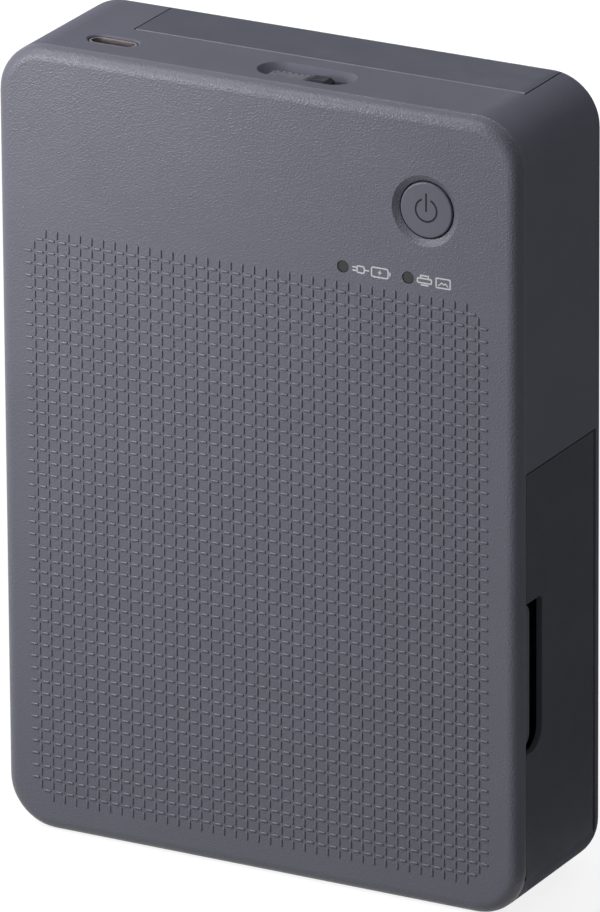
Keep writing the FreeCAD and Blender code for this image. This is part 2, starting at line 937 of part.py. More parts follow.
def slider_rails():
    near, far = slider_rail_ys()
    left, right = slider_span()
    rail_left = left - slider_rail_width
    rail_right = right + slider_spring_length + slider_rail_width
    z0 = inner_top - slider_rail_depth
    rails = [
        box(rail_left, rail_right, near - slider_rail_width, near, z0, inner_top),
        box(rail_left, rail_right, far, far + slider_rail_width, z0, inner_top),
        box(rail_right - slider_rail_width, rail_right, near, far, z0, inner_top),
    ]
    return rails


def open_slider():
    pad_gap = contact_gap * 2
    floor_length = slider_recess_length - slider_recess_slope * 2
    floor_width = slider_recess_width - slider_recess_slope * 2
    floor_left = slider_centre_x - floor_length / 2
    left, right = slider_span()
    near, far = slider_rail_ys()
    plate_top = inner_top - contact_gap
    plate = box(
        left,
        right,
        near + contact_gap,
        far - contact_gap,
        plate_top - slider_plate_thickness,
        plate_top,
    )
    pad_length = floor_length - slider_travel - pad_gap * 2
    pad_width = floor_width - pad_gap * 2
    pad_x = floor_left + pad_gap + pad_length / 2
    pad_top = height - slider_recess_depth
    pad = stadium_block(pad_length, pad_width, pad_x, slider_centre_y, plate_top, pad_top)
    nub_x = pad_x + pad_length / 2 - slider_nub_length / 2 - slider_nub_inset
    nub = box(
        nub_x - slider_nub_length / 2,
        nub_x + slider_nub_length / 2,
        slider_centre_y - slider_nub_width / 2,
        slider_centre_y + slider_nub_width / 2,
        pad_top,
        pad_top + slider_nub_rise,
    )
    upright = [edge for edge in nub.Edges if edge.BoundBox.ZMax - edge.BoundBox.ZMin > slider_nub_rise / 2]
    nub = nub.makeFillet(slider_nub_radius, upright)
    crown = [edge for edge in nub.Edges if edge.BoundBox.ZMin > pad_top + slider_nub_rise / 2]
    nub = nub.makeChamfer(slider_nub_slope, crown)
    save("open_slider", [fuse([plate, pad, nub])])


def slider_retainer():
    near, far = slider_rail_ys()
    left, right = slider_span()
    rail_left = left - slider_rail_width
    rail_right = right + slider_spring_length + slider_rail_width
    z1 = inner_top - slider_rail_depth
    z0 = z1 - retainer_thickness
    plate = box(rail_left, rail_right, near - slider_rail_width, far + slider_rail_width, z0, z1)
    save("slider_retainer", [plate])


def slider_spring():
    right = slider_span()[1]
    start = vec(right, slider_centre_y, inner_top - slider_rail_depth / 2)
    coil = spring(
        slider_spring_radius - spring_wire_radius,
        spring_wire_radius,
        slider_spring_turns,
        slider_spring_length,
        start,
        vec(1, 0, 0),
    )
    save("slider_spring", [coil])


def ink_door():
    skin = box(
        half_width - door_thickness,
        half_width,
        door_front_y,
        door_axis_y,
        door_bottom_z,
        door_top_z,
    )
    barrel = rod_z(door_barrel_radius, door_bottom_z, door_top_z, door_axis_x, door_axis_y)
    snaps = []
    for z in (door_bottom_z + snap_inset, door_top_z - snap_inset - snap_height):
        x1 = half_width - door_thickness
        y0 = door_front_y + snap_thickness
        snaps.append(box(x1 - snap_length, x1, y0, y0 + snap_thickness, z, z + snap_height))
    door = fuse([skin, barrel] + snaps)
    notch = box(
        half_width - door_thickness - overrun,
        half_width + overrun,
        door_front_y - overrun - notch_radius,
        notch_rear_y,
        notch_bottom_z,
        notch_top_z,
    )
    for radius, z in ((notch_radius, notch_bottom_z), (notch_top_radius, notch_top_z)):
        corner = [
            edge
            for edge in notch.Edges
            if edge.BoundBox.XMax - edge.BoundBox.XMin > door_thickness
            and edge.BoundBox.YMin > door_front_y
            and abs(edge.BoundBox.ZMax - z) < contact_gap
        ]
        notch = notch.makeFillet(radius, corner)
    bores = []
    radius = door_pin_radius + running_gap
    for z0 in (door_bottom_z - overrun, door_top_z - door_pin_grip - overrun):
        z1 = z0 + door_pin_grip + overrun * 2
        bores.append(rod_z(radius, z0, z1, door_axis_x, door_axis_y))
    save("ink_door", [cut(door, [notch] + bores)])


def plunger_front_y():
    return board_front_y - switch_height - plunger_rise


def power_button():
    face_y = front_y + button_setback
    flange_y = inner_front_y + contact_gap
    cap = rod_y(button_radius, face_y, flange_y, button_x, button_z)
    cap = cap.makeFillet(button_edge_radius, face_edges(cap, face_y))
    flange = rod_y(
        button_flange_radius, flange_y, flange_y + button_flange_thickness, button_x, button_z
    )
    stem = rod_y(button_stem_radius, flange_y, plunger_front_y(), button_x, button_z)
    save("power_button", [fuse([cap, flange, stem])])


def tact_switch():
    half = switch_size / 2
    body = box(
        button_x - half,
        button_x + half,
        board_front_y - switch_height,
        board_front_y,
        button_z - half,
        button_z + half,
    )
    pocket_floor = board_front_y - switch_height + plunger_depth + button_travel + contact_gap * 2
    pocket = rod_y(
        plunger_radius + running_gap,
        board_front_y - switch_height - overrun,
        pocket_floor,
        button_x,
        button_z,
    )
    save("power_switch", [body.cut(pocket)])
    y1 = board_front_y - switch_height + plunger_depth
    save("switch_plunger", [rod_y(plunger_radius, plunger_front_y(), y1, button_x, button_z)])


def light_pipes():
    pipes = []
    led_top_y = board_front_y - led_height
    for x in light_xs:
        pipe = rod_y(light_radius, front_y + light_setback, led_top_y - contact_gap, x, light_z)
        flange = rod_y(
            light_flange_radius,
            inner_front_y,
            inner_front_y + light_flange_thickness,
            x,
            light_z,
        )
        pipes.append(fuse([pipe, flange]))
    save("light_pipes", pipes)


def main_board():
    y1 = board_front_y + board_thickness
    board = box(
        board_left_x, board_right_x, board_front_y, y1, board_bottom_z, board_top_z
    )
    tab = box(
        usb_x - board_tab_half_width,
        usb_x + board_tab_half_width,
        board_front_y,
        y1,
        board_top_z,
        board_tab_top_z,
    )
    holes = [
        rod_y(board_screw_radius + contact_gap, board_front_y - overrun, y1 + overrun, x, z)
        for x, z in board_posts
    ]
    save("main_board", [cut(fuse([board, tab]), holes)])
    screws = []
    for x, z in board_posts:
        shank = rod_y(board_screw_radius - contact_gap, y1 - board_screw_length, y1, x, z)
        head = rod_y(board_screw_head_radius, y1, y1 + board_screw_head_height, x, z)
        screws.append(fuse([shank, head]))
    save("board_screws", screws)


def header_places():
    return [(board_left_x + along, board_bottom_z + rise, length) for along, rise, length in headers]


def board_parts():
    y1 = board_front_y + board_thickness
    pieces = []
    for along, rise, size_x, size_z in chips:
        x = board_left_x + along
        z = board_bottom_z + rise
        pieces.append(
            box(x - size_x / 2, x + size_x / 2, y1, y1 + chip_height, z - size_z / 2, z + size_z / 2)
        )
    for x, z, length in header_places():
        pieces.append(
            box(x - length / 2, x + length / 2, y1, y1 + header_height, z, z + header_depth_z)
        )
    for x in light_xs:
        half = led_size / 2
        led_front_y = board_front_y - led_height
        pieces.append(
            box(x - half, x + half, led_front_y, board_front_y, light_z - half, light_z + half)
        )
    save("board_components", pieces)
    half = shield_size / 2
    can = box(
        shield_x - half, shield_x + half, y1, y1 + shield_height, shield_z - half, shield_z + half
    )
    inner = half - shield_wall
    hollow = box(
        shield_x - inner,
        shield_x + inner,
        y1 - overrun,
        y1 + shield_height - shield_wall,
        shield_z - inner,
        shield_z + inner,
    )
    save("radio_shield", [can.cut(hollow)])


def usb_socket():
    z1 = height - usb_mouth_setback
    z0 = z1 - usb_shell_length
    inner_width = usb_shell_width - usb_shell_wall * 2
    inner_depth = usb_shell_depth - usb_shell_wall * 2
    shell = stadium_block(usb_shell_width, usb_shell_depth, usb_x, usb_y, z0, z1)
    hollow = stadium_block(inner_width, inner_depth, usb_x, usb_y, z0 + usb_back_plug, z1 + overrun)
    save("usb_socket", [shell.cut(hollow)])
    half = usb_tongue_width / 2
    tongue = box(
        usb_x - half,
        usb_x + half,
        usb_y - usb_tongue_thickness / 2,
        usb_y + usb_tongue_thickness / 2,
        z0 + usb_back_plug,
        z1 - usb_tongue_setback,
    )
    save("usb_tongue", [tongue])


def housing_screws():
    screws = []
    for x, z in screw_places:
        shank = rod_y(screw_radius, screw_seat_y - screw_length, screw_seat_y, x, z)
        head = rod_y(screw_head_radius, screw_seat_y, screw_seat_y + screw_head_height, x, z)
        screws.append(fuse([shank, head]))
    save("housing_screws", screws)


def plate_screw_y():
    return plate_front_y + plate_foot_depth + plate_foot_depth / 2


def plate_screw_places():
    left = left_plate_x + plate_foot_length / 2 + plate_thickness / 2
    right = right_plate_x - plate_foot_length / 2 - plate_thickness / 2
    return left, right


def plate_blank(x0, x1):
    points = (
        (plate_front_y, wall),
        (plate_rear_y, wall),
        (plate_rear_y, plate_step_z),
        (tray_floor_front_y, plate_step_z),
        (tray_floor_front_y, plate_top_z),
        (plate_front_y, plate_top_z),
    )
    blank = plate_yz(points, x0, x1)
    return blank.common(slab(wall, inner_radius, front_y, rear_y))


def shaft_holes(x0, x1):
    holes = []
    for place, radius in (
        (platen, platen_shaft_radius + bush_wall),
        (capstan, capstan_end_radius + bush_wall),
        (pickup, pickup_shaft_radius + bush_wall),
        (pinch, pinch_shaft_radius + running_gap),
        ((arm_pivot_y, arm_pivot_z), arm_pivot_radius),
    ):
        holes.append(rod_x(radius, x0 - overrun, x1 + overrun, place[0], place[1]))
    return holes


def plate_foot(x0, x1):
    y0 = plate_screw_y() - plate_foot_depth / 2
    foot = box(x0, x1, y0, y0 + plate_foot_depth, wall, wall + plate_thickness)
    middle = (x0 + x1) / 2
    near = min(plate_screw_places(), key=lambda place: abs(place - middle))
    top = wall + plate_thickness + overrun
    hole = rod_z(board_screw_radius + contact_gap, 0, top, near, plate_screw_y())
    return foot.cut(hole).common(slab(wall, inner_radius, front_y, rear_y))


def cassette_profile(grow, x0, x1):
    # the two lobes and the bridge behind them, seen along X
    margin = bridge_clearance if grow else 0
    pieces = []
    for place in (take_up, supply):
        pieces.append(rod_x(lobe_radius + grow, x0, x1, place[0], place[1]))
        half = bridge_web_height / 2 + grow
        pieces.append(
            box(
                x0,
                x1,
                spool_y,
                bridge_front_y + bridge_thickness + grow / 2,
                place[1] - half,
                place[1] + half,
            )
        )
    pieces.append(
        box(
            x0,
            x1,
            bridge_front_y - margin,
            bridge_front_y + bridge_thickness + margin,
            take_up_z,
            supply_z,
        )
    )
    return fuse(pieces)


def engine_screws():
    screws = []
    for x in plate_screw_places():
        seat = wall + plate_thickness
        tip = wall - plate_screw_length
        shank = rod_z(board_screw_radius - contact_gap, tip, seat, x, plate_screw_y())
        head = rod_z(
            board_screw_head_radius, seat, seat + board_screw_head_height, x, plate_screw_y()
        )
        screws.append(fuse([shank, head]))
    for y, z in bracket_posts:
        shank = rod_x(
            bracket_screw_radius - contact_gap, motor_x, left_plate_outer_x - wall - contact_gap, y, z
        )
        head = rod_x(
            bracket_screw_head_radius, motor_x - bracket_screw_head_height, motor_x, y, z
        )
        screws.append(fuse([shank, head]))
    for x in tray_ledge_places():
        for z in (tray_screw_low_z, tray_screw_high_z):
            y0 = tray_floor_front_y
            shank = rod_y(tray_screw_radius - contact_gap, y0, y0 + tray_screw_length, x, z)
            head = rod_y(tray_screw_head_radius, y0 - tray_screw_head_height, y0, x, z)
            screws.append(fuse([shank, head]))
    save("engine_screws", screws)


def frame_plates():
    x0 = left_plate_outer_x
    x1 = left_plate_x
    left = plate_blank(x0, x1)
    holes = shaft_holes(x0, x1)
    for place in (take_up, supply):
        holes.append(rod_x(spindle_radius + running_gap, x0 - overrun, x1 + overrun, *place))
    for place in (reduction, swing_idler, lower_idler, upper_idler):
        holes.append(rod_x(gear_pin_radius, x0 - overrun, x1 + overrun, *place))
    foot = plate_foot(x1, x1 + plate_foot_length)
    crossbar = box(
        x1,
        right_plate_x,
        plate_front_y,
        plate_front_y + crossbar_thickness,
        crossbar_bottom_z,
        crossbar_top_z,
    )
    save("left_frame_plate", [fuse([cut(left, holes), foot, crossbar])])
    x0 = right_plate_x
    x1 = right_plate_outer_x
    right = plate_blank(x0, x1)
    opening = cassette_profile(cassette_gap, x0 - overrun, x1 + overrun)
    foot = plate_foot(x0 - plate_foot_length, x0)
    save("right_frame_plate", [fuse([cut(right, shaft_holes(x0, x1) + [opening]), foot])])


def frame_pins():
    pins = []
    for place in (swing_idler, lower_idler, upper_idler):
        pins.append(rod_x(gear_pin_radius, shaft_left_x, left_plate_x, *place))
    pins.append(rod_x(gear_pin_radius, bracket_x, left_plate_x, *reduction))
    arm_pivot = (arm_pivot_y, arm_pivot_z)
    pins.append(rod_x(arm_pivot_radius, left_plate_outer_x, right_plate_outer_x, *arm_pivot))
    tip = cassette_left_x + spindle_reach - contact_gap
    pins.append(rod_x(spindle_radius, left_plate_outer_x, tip, *supply))
    save("frame_pins", pins)


def idler_gears():
    bore = gear_pin_radius + running_gap
    for name, teeth, place, phase in (
        ("platen_idler_gear", swing_idler_teeth, swing_idler, swing_phase),
        ("lower_feed_idler_gear", tall_idler_teeth, lower_idler, lower_phase),
        ("upper_feed_idler_gear", tall_idler_teeth, upper_idler, upper_phase),
    ):
        save(name, [gear(teeth, place[0], place[1], phase, near_gear_x, bore)])
    small = gear(pinion_teeth, reduction[0], reduction[1], reduction_phase, near_gear_x, bore)
    large = gear(reduction_teeth, reduction[0], reduction[1], reduction_phase, far_gear_x, bore)
    hub = tube_x(
        gear_hub_radius, bore, far_gear_x + gear_thickness, near_gear_x, reduction[0], reduction[1]
    )
    save("reduction_gear", [fuse([small, hub, large])])


def driven_roller(name, place, radii, teeth, phase, half_length, moulded):
    # a shaft across both plates with its gear, and a sleeve on it where it has one
    shaft_radius, end_radius, sleeve = radii
    left = cover_centre_x - half_length
    right = cover_centre_x + half_length
    middle = rod_x(shaft_radius, left, right, *place)
    ends = rod_x(end_radius, shaft_left_x, shaft_right_x, *place)
    if moulded:
        teeth = gear(teeth, place[0], place[1], phase, near_gear_x, end_radius / 2)
        save(name + "_shaft", [fuse([middle, ends, teeth])])
    else:
        save(name + "_shaft", [fuse([middle, ends])])
        save(name + "_gear", [gear(teeth, place[0], place[1], phase, near_gear_x, end_radius)])
    if sleeve > shaft_radius:
        save(name + "_rubber", [tube_x(sleeve, shaft_radius, left, right, *place)])


def rollers():
    half = engine_half_width - roller_inset
    platen_radii = (platen_shaft_radius, platen_shaft_radius, platen_radius)
    driven_roller("platen", platen, platen_radii, platen_teeth, platen_phase, half, False)
    capstan_radii = (capstan_radius, capstan_end_radius, 0)
    driven_roller("capstan", capstan, capstan_radii, capstan_teeth, capstan_phase, half, False)
    pickup_radii = (pickup_shaft_radius, pickup_shaft_radius, pickup_radius)
    pickup_half = pickup_length / 2
    driven_roller("pickup", pickup, pickup_radii, pickup_teeth, pickup_phase, pickup_half, True)
    ends = rod_x(pinch_shaft_radius, left_plate_outer_x, right_plate_outer_x, *pinch)
    middle = rod_x(pinch_radius, cover_centre_x - half, cover_centre_x + half, *pinch)
    save("pinch_roller", [fuse([middle, ends])])


def roller_bushes():
    bushes = []
    for x0 in (left_plate_outer_x, right_plate_x):
        for place, radius in (
            (platen, platen_shaft_radius),
            (capstan, capstan_end_radius),
            (pickup, pickup_shaft_radius),
        ):
            x1 = x0 + plate_thickness
            bushes.append(tube_x(radius + bush_wall, radius + running_gap, x0, x1, *place))
    save("roller_bushes", bushes)


def motor_bracket():
    corners = (
        (plate_front_y + wall / 2, bracket_bottom_z),
        (plate_rear_y - wall / 2, bracket_bottom_z),
        (plate_rear_y - wall / 2, platen_z),
        (pinch_y, bracket_top_z),
        (plate_front_y + wall / 2, bracket_top_z),
    )
    plate = plate_yz(corners, motor_x, bracket_x)
    posts = [
        rod_x(bracket_post_radius, bracket_x, left_plate_outer_x, y, z) for y, z in bracket_posts
    ]
    holes = []
    for place in (feed_motor, ribbon_motor):
        radius = motor_shaft_radius + motor_shaft_clearance
        holes.append(rod_x(radius, motor_x - overrun, bracket_x + overrun, *place))
    for place in bracket_posts:
        tip = left_plate_outer_x - wall
        holes.append(rod_x(bracket_screw_radius, motor_x - overrun, tip, *place))
    save("motor_bracket", [cut(fuse([plate] + posts), holes)])


def motors():
    for name, place, gear_x, phase in (
        ("feed", feed_motor, far_gear_x, feed_pinion_phase),
        ("ribbon", ribbon_motor, near_gear_x, ribbon_pinion_phase),
    ):
        can = rod_x(motor_radius, motor_x - motor_length, motor_x, *place)
        depth = motor_length - wall
        bore = rod_x(motor_shaft_radius + running_gap, motor_x - depth, motor_x + overrun, *place)
        save(name + "_motor", [can.cut(bore)])
        shaft = rod_x(motor_shaft_radius, motor_x - depth / 2, gear_x + gear_thickness, *place)
        teeth = gear(
            pinion_teeth, place[0], place[1], phase, gear_x, motor_shaft_radius / 2
        )
        save(name + "_motor_pinion", [fuse([shaft, teeth])])


def paper_tray():
    half = paper_width / 2 + paper_side_gap
    left = cover_centre_x - half
    right = cover_centre_x + half
    top = paper_bottom_z + paper_length + paper_side_gap
    ledge_left, ledge_right = tray_ledge_places()
    reach = tray_ledge_width / 2
    floor = box(
        left - tray_wall,
        right + tray_wall,
        tray_floor_front_y,
        tray_floor_rear_y,
        tray_bottom_z,
        top + tray_wall,
    )
    ears = box(
        ledge_left - reach,
        ledge_right + reach,
        tray_floor_front_y,
        tray_floor_rear_y,
        tray_ledge_bottom_z,
        top,
    )
    y0 = tray_floor_rear_y
    sides = [
        box(left - tray_wall, left, y0, tray_wall_rear_y, tray_bottom_z, top + tray_wall),
        box(right, right + tray_wall, y0, tray_wall_rear_y, tray_bottom_z, top + tray_wall),
        box(left - tray_wall, right + tray_wall, y0, tray_wall_rear_y, top, top + tray_wall),
    ]
    holes = []
    window = pickup_radius + moving_gap
    half_window = pickup_length / 2 + moving_gap
    holes.append(
        box(
            cover_centre_x - half_window,
            cover_centre_x + half_window,
            tray_floor_front_y - overrun,
            tray_floor_rear_y + overrun,
            pickup_z - window,
            pickup_z + window,
        )
    )
    for x in (ledge_left, ledge_right):
        for z in (tray_screw_low_z, tray_screw_high_z):
            radius = tray_screw_radius + contact_gap
            y1 = tray_floor_rear_y + overrun
            holes.append(rod_y(radius, tray_floor_front_y - overrun, y1, x, z))
    for x, z in screw_places:
        radius = screw_post_radius + moving_gap
        y0 = tray_floor_front_y - overrun
        holes.append(rod_y(radius, y0, tray_wall_rear_y + overrun, x, z))
    save("paper_tray", [cut(fuse([floor, ears] + sides), holes)])


def tray_ledge_places():
    half = cover_width / 2 + cover_gap + tray_ledge_width / 2
    return cover_centre_x - half, cover_centre_x + half


def tray_ledges():
    ledges = []
    for x in tray_ledge_places():
        half = tray_ledge_width / 2
        top = paper_bottom_z + paper_length
        ledges.append(
            box(x - half, x + half, tray_floor_rear_y, inner_rear_y, tray_ledge_bottom_z, top)
        )
    return ledges


def photo_paper():
    half = paper_width / 2
    stack = box(
        cover_centre_x - half,
        cover_centre_x + half,
        paper_front_y,
        paper_rear_y,
        paper_bottom_z,
        paper_bottom_z + paper_length,
    )
    save("photo_paper", [stack])


def lift_plate():
    half = paper_width / 2 - lift_plate_inset
    y0 = paper_rear_y + lift_plate_gap
    y1 = y0 + lift_plate_thickness
    z0 = paper_bottom_z + lift_plate_inset
    plate = box(
        cover_centre_x - half, cover_centre_x + half, y0, y1, z0, z0 + lift_plate_length
    )
    save("paper_lift_plate", [plate])
    coils = []
    for side in (-1, 1):
        base = vec(
            cover_centre_x + side * (half - lift_spring_inset), y1, z0 + lift_spring_inset
        )
        coils.append(
            spring(
                lift_spring_radius,
                spring_wire_radius,
                lift_spring_turns,
                inner_rear_y - y1,
                base,
                vec(0, 1, 0),
            )
        )
    save("lift_springs", coils)


def exit_guide():
    half = paper_width / 2 + paper_side_gap
    left = cover_centre_x - half
    right = cover_centre_x + half
    near = paper_path_y - slot_depth / 2
    far = paper_path_y + slot_depth / 2
    rear = box(left, right, far, far + guide_wall, wall, guide_rear_top_z)
    front = box(left, right, near - guide_wall, near, wall, guide_front_top_z)
    ends = [
        box(x0, x0 + guide_wall, near - guide_wall, far + guide_wall, wall, wall + guide_end_height)
        for x0 in (left - guide_wall, right)
    ]
    guide = fuse([rear, front] + ends)
    save("exit_guide", [guide.common(slab(wall, inner_radius, front_y, rear_y))])


def ink_cassette():
    left = cassette_left_x
    right = cassette_right_x
    inner_left = left + cassette_end
    inner_right = right - cassette_end
    ends = [
        cassette_profile(0, left, inner_left),
        cassette_profile(0, inner_right, right),
    ]
    lobes = []
    for place in (take_up, supply):
        lobe = tube_x(lobe_radius, lobe_radius - lobe_wall, inner_left, inner_right, *place)
        side = 1 if place is take_up else -1
        z0, z1 = sorted((place[1], place[1] + side * lobe_radius * 2))
        mouth = box(
            inner_left, inner_right, spool_y - lobe_mouth_front, spool_y + lobe_mouth_rear, z0, z1
        )
        lobes.append(lobe.cut(mouth))
    holes = []
    for place in (take_up, supply):
        radius = spool_core_radius - lobe_wall + running_gap
        holes.append(rod_x(radius, left - overrun, right + overrun, *place))
    save("ink_cassette_frame", [cut(fuse(ends + lobes), holes)])
    for name, place, roll in (
        ("supply", supply, full_roll_radius),
        ("take_up", take_up, used_roll_radius),
    ):
        x0 = inner_left + cassette_gap
        x1 = inner_right - cassette_gap
        core = rod_x(spool_core_radius, x0, x1, *place)
        ends_rod = rod_x(spool_core_radius - lobe_wall, left, right, *place)
        socket = rod_x(spindle_radius + running_gap, left - overrun, left + spindle_reach, *place)
        save(name + "_spool", [fuse([core, ends_rod]).cut(socket)])
        x0 += film_side_inset
        x1 -= film_side_inset
        save(name + "_ribbon_roll", [tube_x(roll, spool_core_radius, x0, x1, *place)])


def tangent_point(place, radius, start, side):
    # where a line from a point touches a circle, on one side of it
    dy = place[0] - start[0]
    dz = place[1] - start[1]
    reach = math.hypot(dy, dz)
    heading = math.atan2(dz, dy) + side * math.asin(radius / reach)
    normal = heading + side * math.pi / 2
    return (place[0] + radius * math.cos(normal), place[1] + radius * math.sin(normal))


def film_points():
    # the ribbon's line from the supply roll over the head's bead and nose to the take-up roll
    edge_y = paper_path_y - paper_gap / 2
    slack = film_thickness * 2
    upper = (edge_y, platen_z + head_bead_radius)
    lower = (edge_y, head_block_bottom_z + contact_gap)
    start = tangent_point(supply, full_roll_radius + slack, upper, 1)
    end = tangent_point(take_up, used_roll_radius + slack, lower, 1)
    return (start, upper, lower, end)


def ribbon_film():
    x0 = cassette_left_x + cassette_end + cassette_gap + film_side_inset
    x1 = cassette_right_x - cassette_end - cassette_gap - film_side_inset
    points = film_points()
    back = [(y - film_thickness, z) for y, z in reversed(points)]
    save("ribbon_film", [plate_yz(list(points) + back, x0, x1)])


def head_arm():
    left = left_plate_x + arm_side_inset
    right = right_plate_x - arm_side_inset
    y1 = head_block_front_y
    back = box(left, right, y1 - arm_sheet, y1, head_block_bottom_z, arm_pivot_z)
    ears = []
    for x0 in (left, right - arm_sheet):
        reach = arm_pivot_radius + arm_ear_margin
        ears.append(
            box(
                x0,
                x0 + arm_sheet,
                y1 - arm_sheet,
                arm_pivot_y + reach,
                arm_pivot_z - reach,
                arm_pivot_z + reach,
            )
        )
    bore = rod_x(
        arm_pivot_radius + running_gap,
        left - overrun,
        right + overrun,
        arm_pivot_y,
        arm_pivot_z,
    )
    save("head_arm", [fuse([back] + ears).cut(bore)])


def thermal_head():
    left = left_plate_x + arm_side_inset
    right = right_plate_x - arm_side_inset
    y0 = head_block_front_y
    film_y = paper_path_y - paper_gap / 2 - film_thickness
    tip_y = film_y - head_film_gap
    board_front = tip_y - head_bead_radius / 2 - head_board_thickness
    block = box(left, right, y0, board_front, head_block_bottom_z, head_block_top_z)
    nose_top_z = head_block_bottom_z + head_nose_height
    nose = box(left, right, board_front, tip_y, head_block_bottom_z, nose_top_z)
    gaps = []
    pitch = (head_block_top_z - head_block_bottom_z - head_fin_thickness) / (head_fin_count - 1)
    for number in range(head_fin_count - 1):
        z0 = head_block_bottom_z + head_fin_thickness + number * pitch
        z1 = z0 + pitch - head_fin_thickness
        y1 = y0 + arm_sheet + head_fin_depth
        gaps.append(box(left - overrun, right + overrun, y0 + arm_sheet, y1, z0, z1))
    save("head_heatsink", [fuse([cut(block, gaps), nose])])
    plate = box(
        left,
        right,
        board_front,
        board_front + head_board_thickness,
        head_board_bottom_z,
        head_board_top_z,
    )
    bead_y = tip_y - head_bead_radius
    bead = rod_x(head_bead_radius, left, right, bead_y, platen_z)
    bead = bead.common(box(left, right, board_front, tip_y, 0, height))
    save("thermal_head", [fuse([plate, bead])])


def head_springs():
    y0 = plate_front_y + crossbar_thickness
    y1 = head_block_front_y - arm_sheet
    coils = []
    for x in (left_plate_x + head_spring_inset, right_plate_x - head_spring_inset):
        coils.append(
            spring(
                head_spring_radius,
                spring_wire_radius,
                head_spring_turns,
                y1 - y0,
                vec(x, y0, head_spring_z),
                vec(0, 1, 0),
            )
        )
    save("head_springs", coils)


def take_up_drive():
    # a moulded gear and spindle that turn the take-up spool
    tip = cassette_left_x + spindle_reach - contact_gap
    shaft = rod_x(spindle_radius, shaft_left_x, tip, *take_up)
    teeth = gear(
        spool_teeth, take_up[0], take_up[1], spool_phase, near_gear_x, spindle_radius / 2
    )
    save("take_up_drive", [fuse([shaft, teeth])])


def battery_pack():
    y1 = tray_floor_front_y
    y0 = y1 - battery_thickness
    middle = (battery_left_x + battery_right_x) / 2
    cells = []
    for x0, x1 in (
        (battery_left_x, middle - battery_seam_gap / 2),
        (middle + battery_seam_gap / 2, battery_right_x),
    ):
        cell = box(x0, x1, y0, y1, battery_bottom_z, battery_top_z)
        upright = [
            edge for edge in cell.Edges if edge.BoundBox.ZMax - edge.BoundBox.ZMin > battery_corner
        ]
        cells.append(cell.makeFillet(battery_corner, upright))
    x, z, _ = header_places()[-1]
    lead_z = z + header_depth_z / 2
    header_rear = board_front_y + board_thickness + header_height
    leads = [
        rod_y(lead_radius, header_rear, y0, x + side * lead_radius * 2, lead_z) for side in (-1, 1)
    ]
    save("battery_pack", cells + leads)


def build():
    os.makedirs("parts", exist_ok=True)
    front_cover()
    main_housing()
    rear_cover()
    hinge_pins()
    rubber_feet()
    ink_door()
    open_slider()
    slider_retainer()
    slider_spring()
    power_button()
    tact_switch()
    light_pipes()
    main_board()
    board_parts()
    usb_socket()
    housing_screws()
    frame_plates()
    engine_screws()
    frame_pins()
    idler_gears()
    rollers()
    roller_bushes()
    motor_bracket()
    motors()
    paper_tray()
    photo_paper()
    lift_plate()
    exit_guide()
    ink_cassette()
    ribbon_film()
    head_arm()
    thermal_head()
    head_springs()
    take_up_drive()
    battery_pack()


build()
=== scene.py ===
"""Looks of a compact photo printer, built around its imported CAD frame. Lengths are in metres."""

import json
import math

import bmesh
import bpy
from mathutils import Matrix, Vector


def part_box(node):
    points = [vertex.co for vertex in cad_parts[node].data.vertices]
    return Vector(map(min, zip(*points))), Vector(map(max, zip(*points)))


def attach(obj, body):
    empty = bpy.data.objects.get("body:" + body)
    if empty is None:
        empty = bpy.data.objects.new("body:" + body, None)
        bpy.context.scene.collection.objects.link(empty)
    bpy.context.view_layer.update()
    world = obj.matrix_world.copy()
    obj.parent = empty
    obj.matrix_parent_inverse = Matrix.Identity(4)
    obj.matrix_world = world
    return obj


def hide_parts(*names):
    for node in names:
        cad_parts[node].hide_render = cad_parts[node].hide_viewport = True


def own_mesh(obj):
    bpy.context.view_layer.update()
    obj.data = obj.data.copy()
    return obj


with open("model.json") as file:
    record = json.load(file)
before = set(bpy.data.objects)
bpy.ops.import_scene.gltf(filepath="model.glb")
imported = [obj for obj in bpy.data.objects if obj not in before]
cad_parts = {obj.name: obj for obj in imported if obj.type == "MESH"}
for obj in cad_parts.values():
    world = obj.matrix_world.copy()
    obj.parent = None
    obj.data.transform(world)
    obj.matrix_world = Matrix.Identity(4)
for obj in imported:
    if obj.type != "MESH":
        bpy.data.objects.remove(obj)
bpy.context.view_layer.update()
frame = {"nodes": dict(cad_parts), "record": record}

mm = 0.001
turn = 2 * math.pi

# Places taken from the frame
front_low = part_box("front_cover")[0]
housing_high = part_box("main_housing")[1]
button_low, button_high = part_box("power_button")
pipes_low, pipes_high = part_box("light_pipes")
slider_low, slider_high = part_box("open_slider")
cover_low, cover_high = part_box("rear_cover")
face_y = front_low.y
top_z = housing_high.z
button_centre = (button_low + button_high) / 2
slider_middle_y = (slider_low.y + slider_high.y) / 2

# Raised pattern on the front face
dash_pitch = 2.29 * mm
dash_columns = 39
dash_rows = 46
dash_field_centre_x = -0.34 * mm
dash_field_centre_z = 59.13 * mm
dash_width = 0.56 * mm
dash_across_length = 1.6 * mm
dash_upright_length = 1.65 * mm
dash_height = 0.2 * mm
dash_shoulder_share = 0.5
dash_shoulder_height_share = 0.78
dash_end_steps = 4

# Smallest overlap or step between a piece and the surface that it lies on
skin = 0.02 * mm

# Printed and sunk marks
ink_thickness = 0.03 * mm
ink_width = 0.26 * mm
power_stroke = 0.33 * mm
power_ring_radius = 2.03 * mm
power_ring_gap = math.radians(56)
power_bar_top = 2.9 * mm
power_bar_bottom = -0.1 * mm
charge_mark_x = 18.9 * mm
status_mark_x = 31.5 * mm
mark_z = (pipes_low.z + pipes_high.z) / 2
mark_height = 1.7 * mm

# Drawn lines: the finest step and the fewest steps of an arc, and the least share of a mitre
arc_step = math.radians(7.5)
arc_least_steps = 2
mitre_least = 0.5

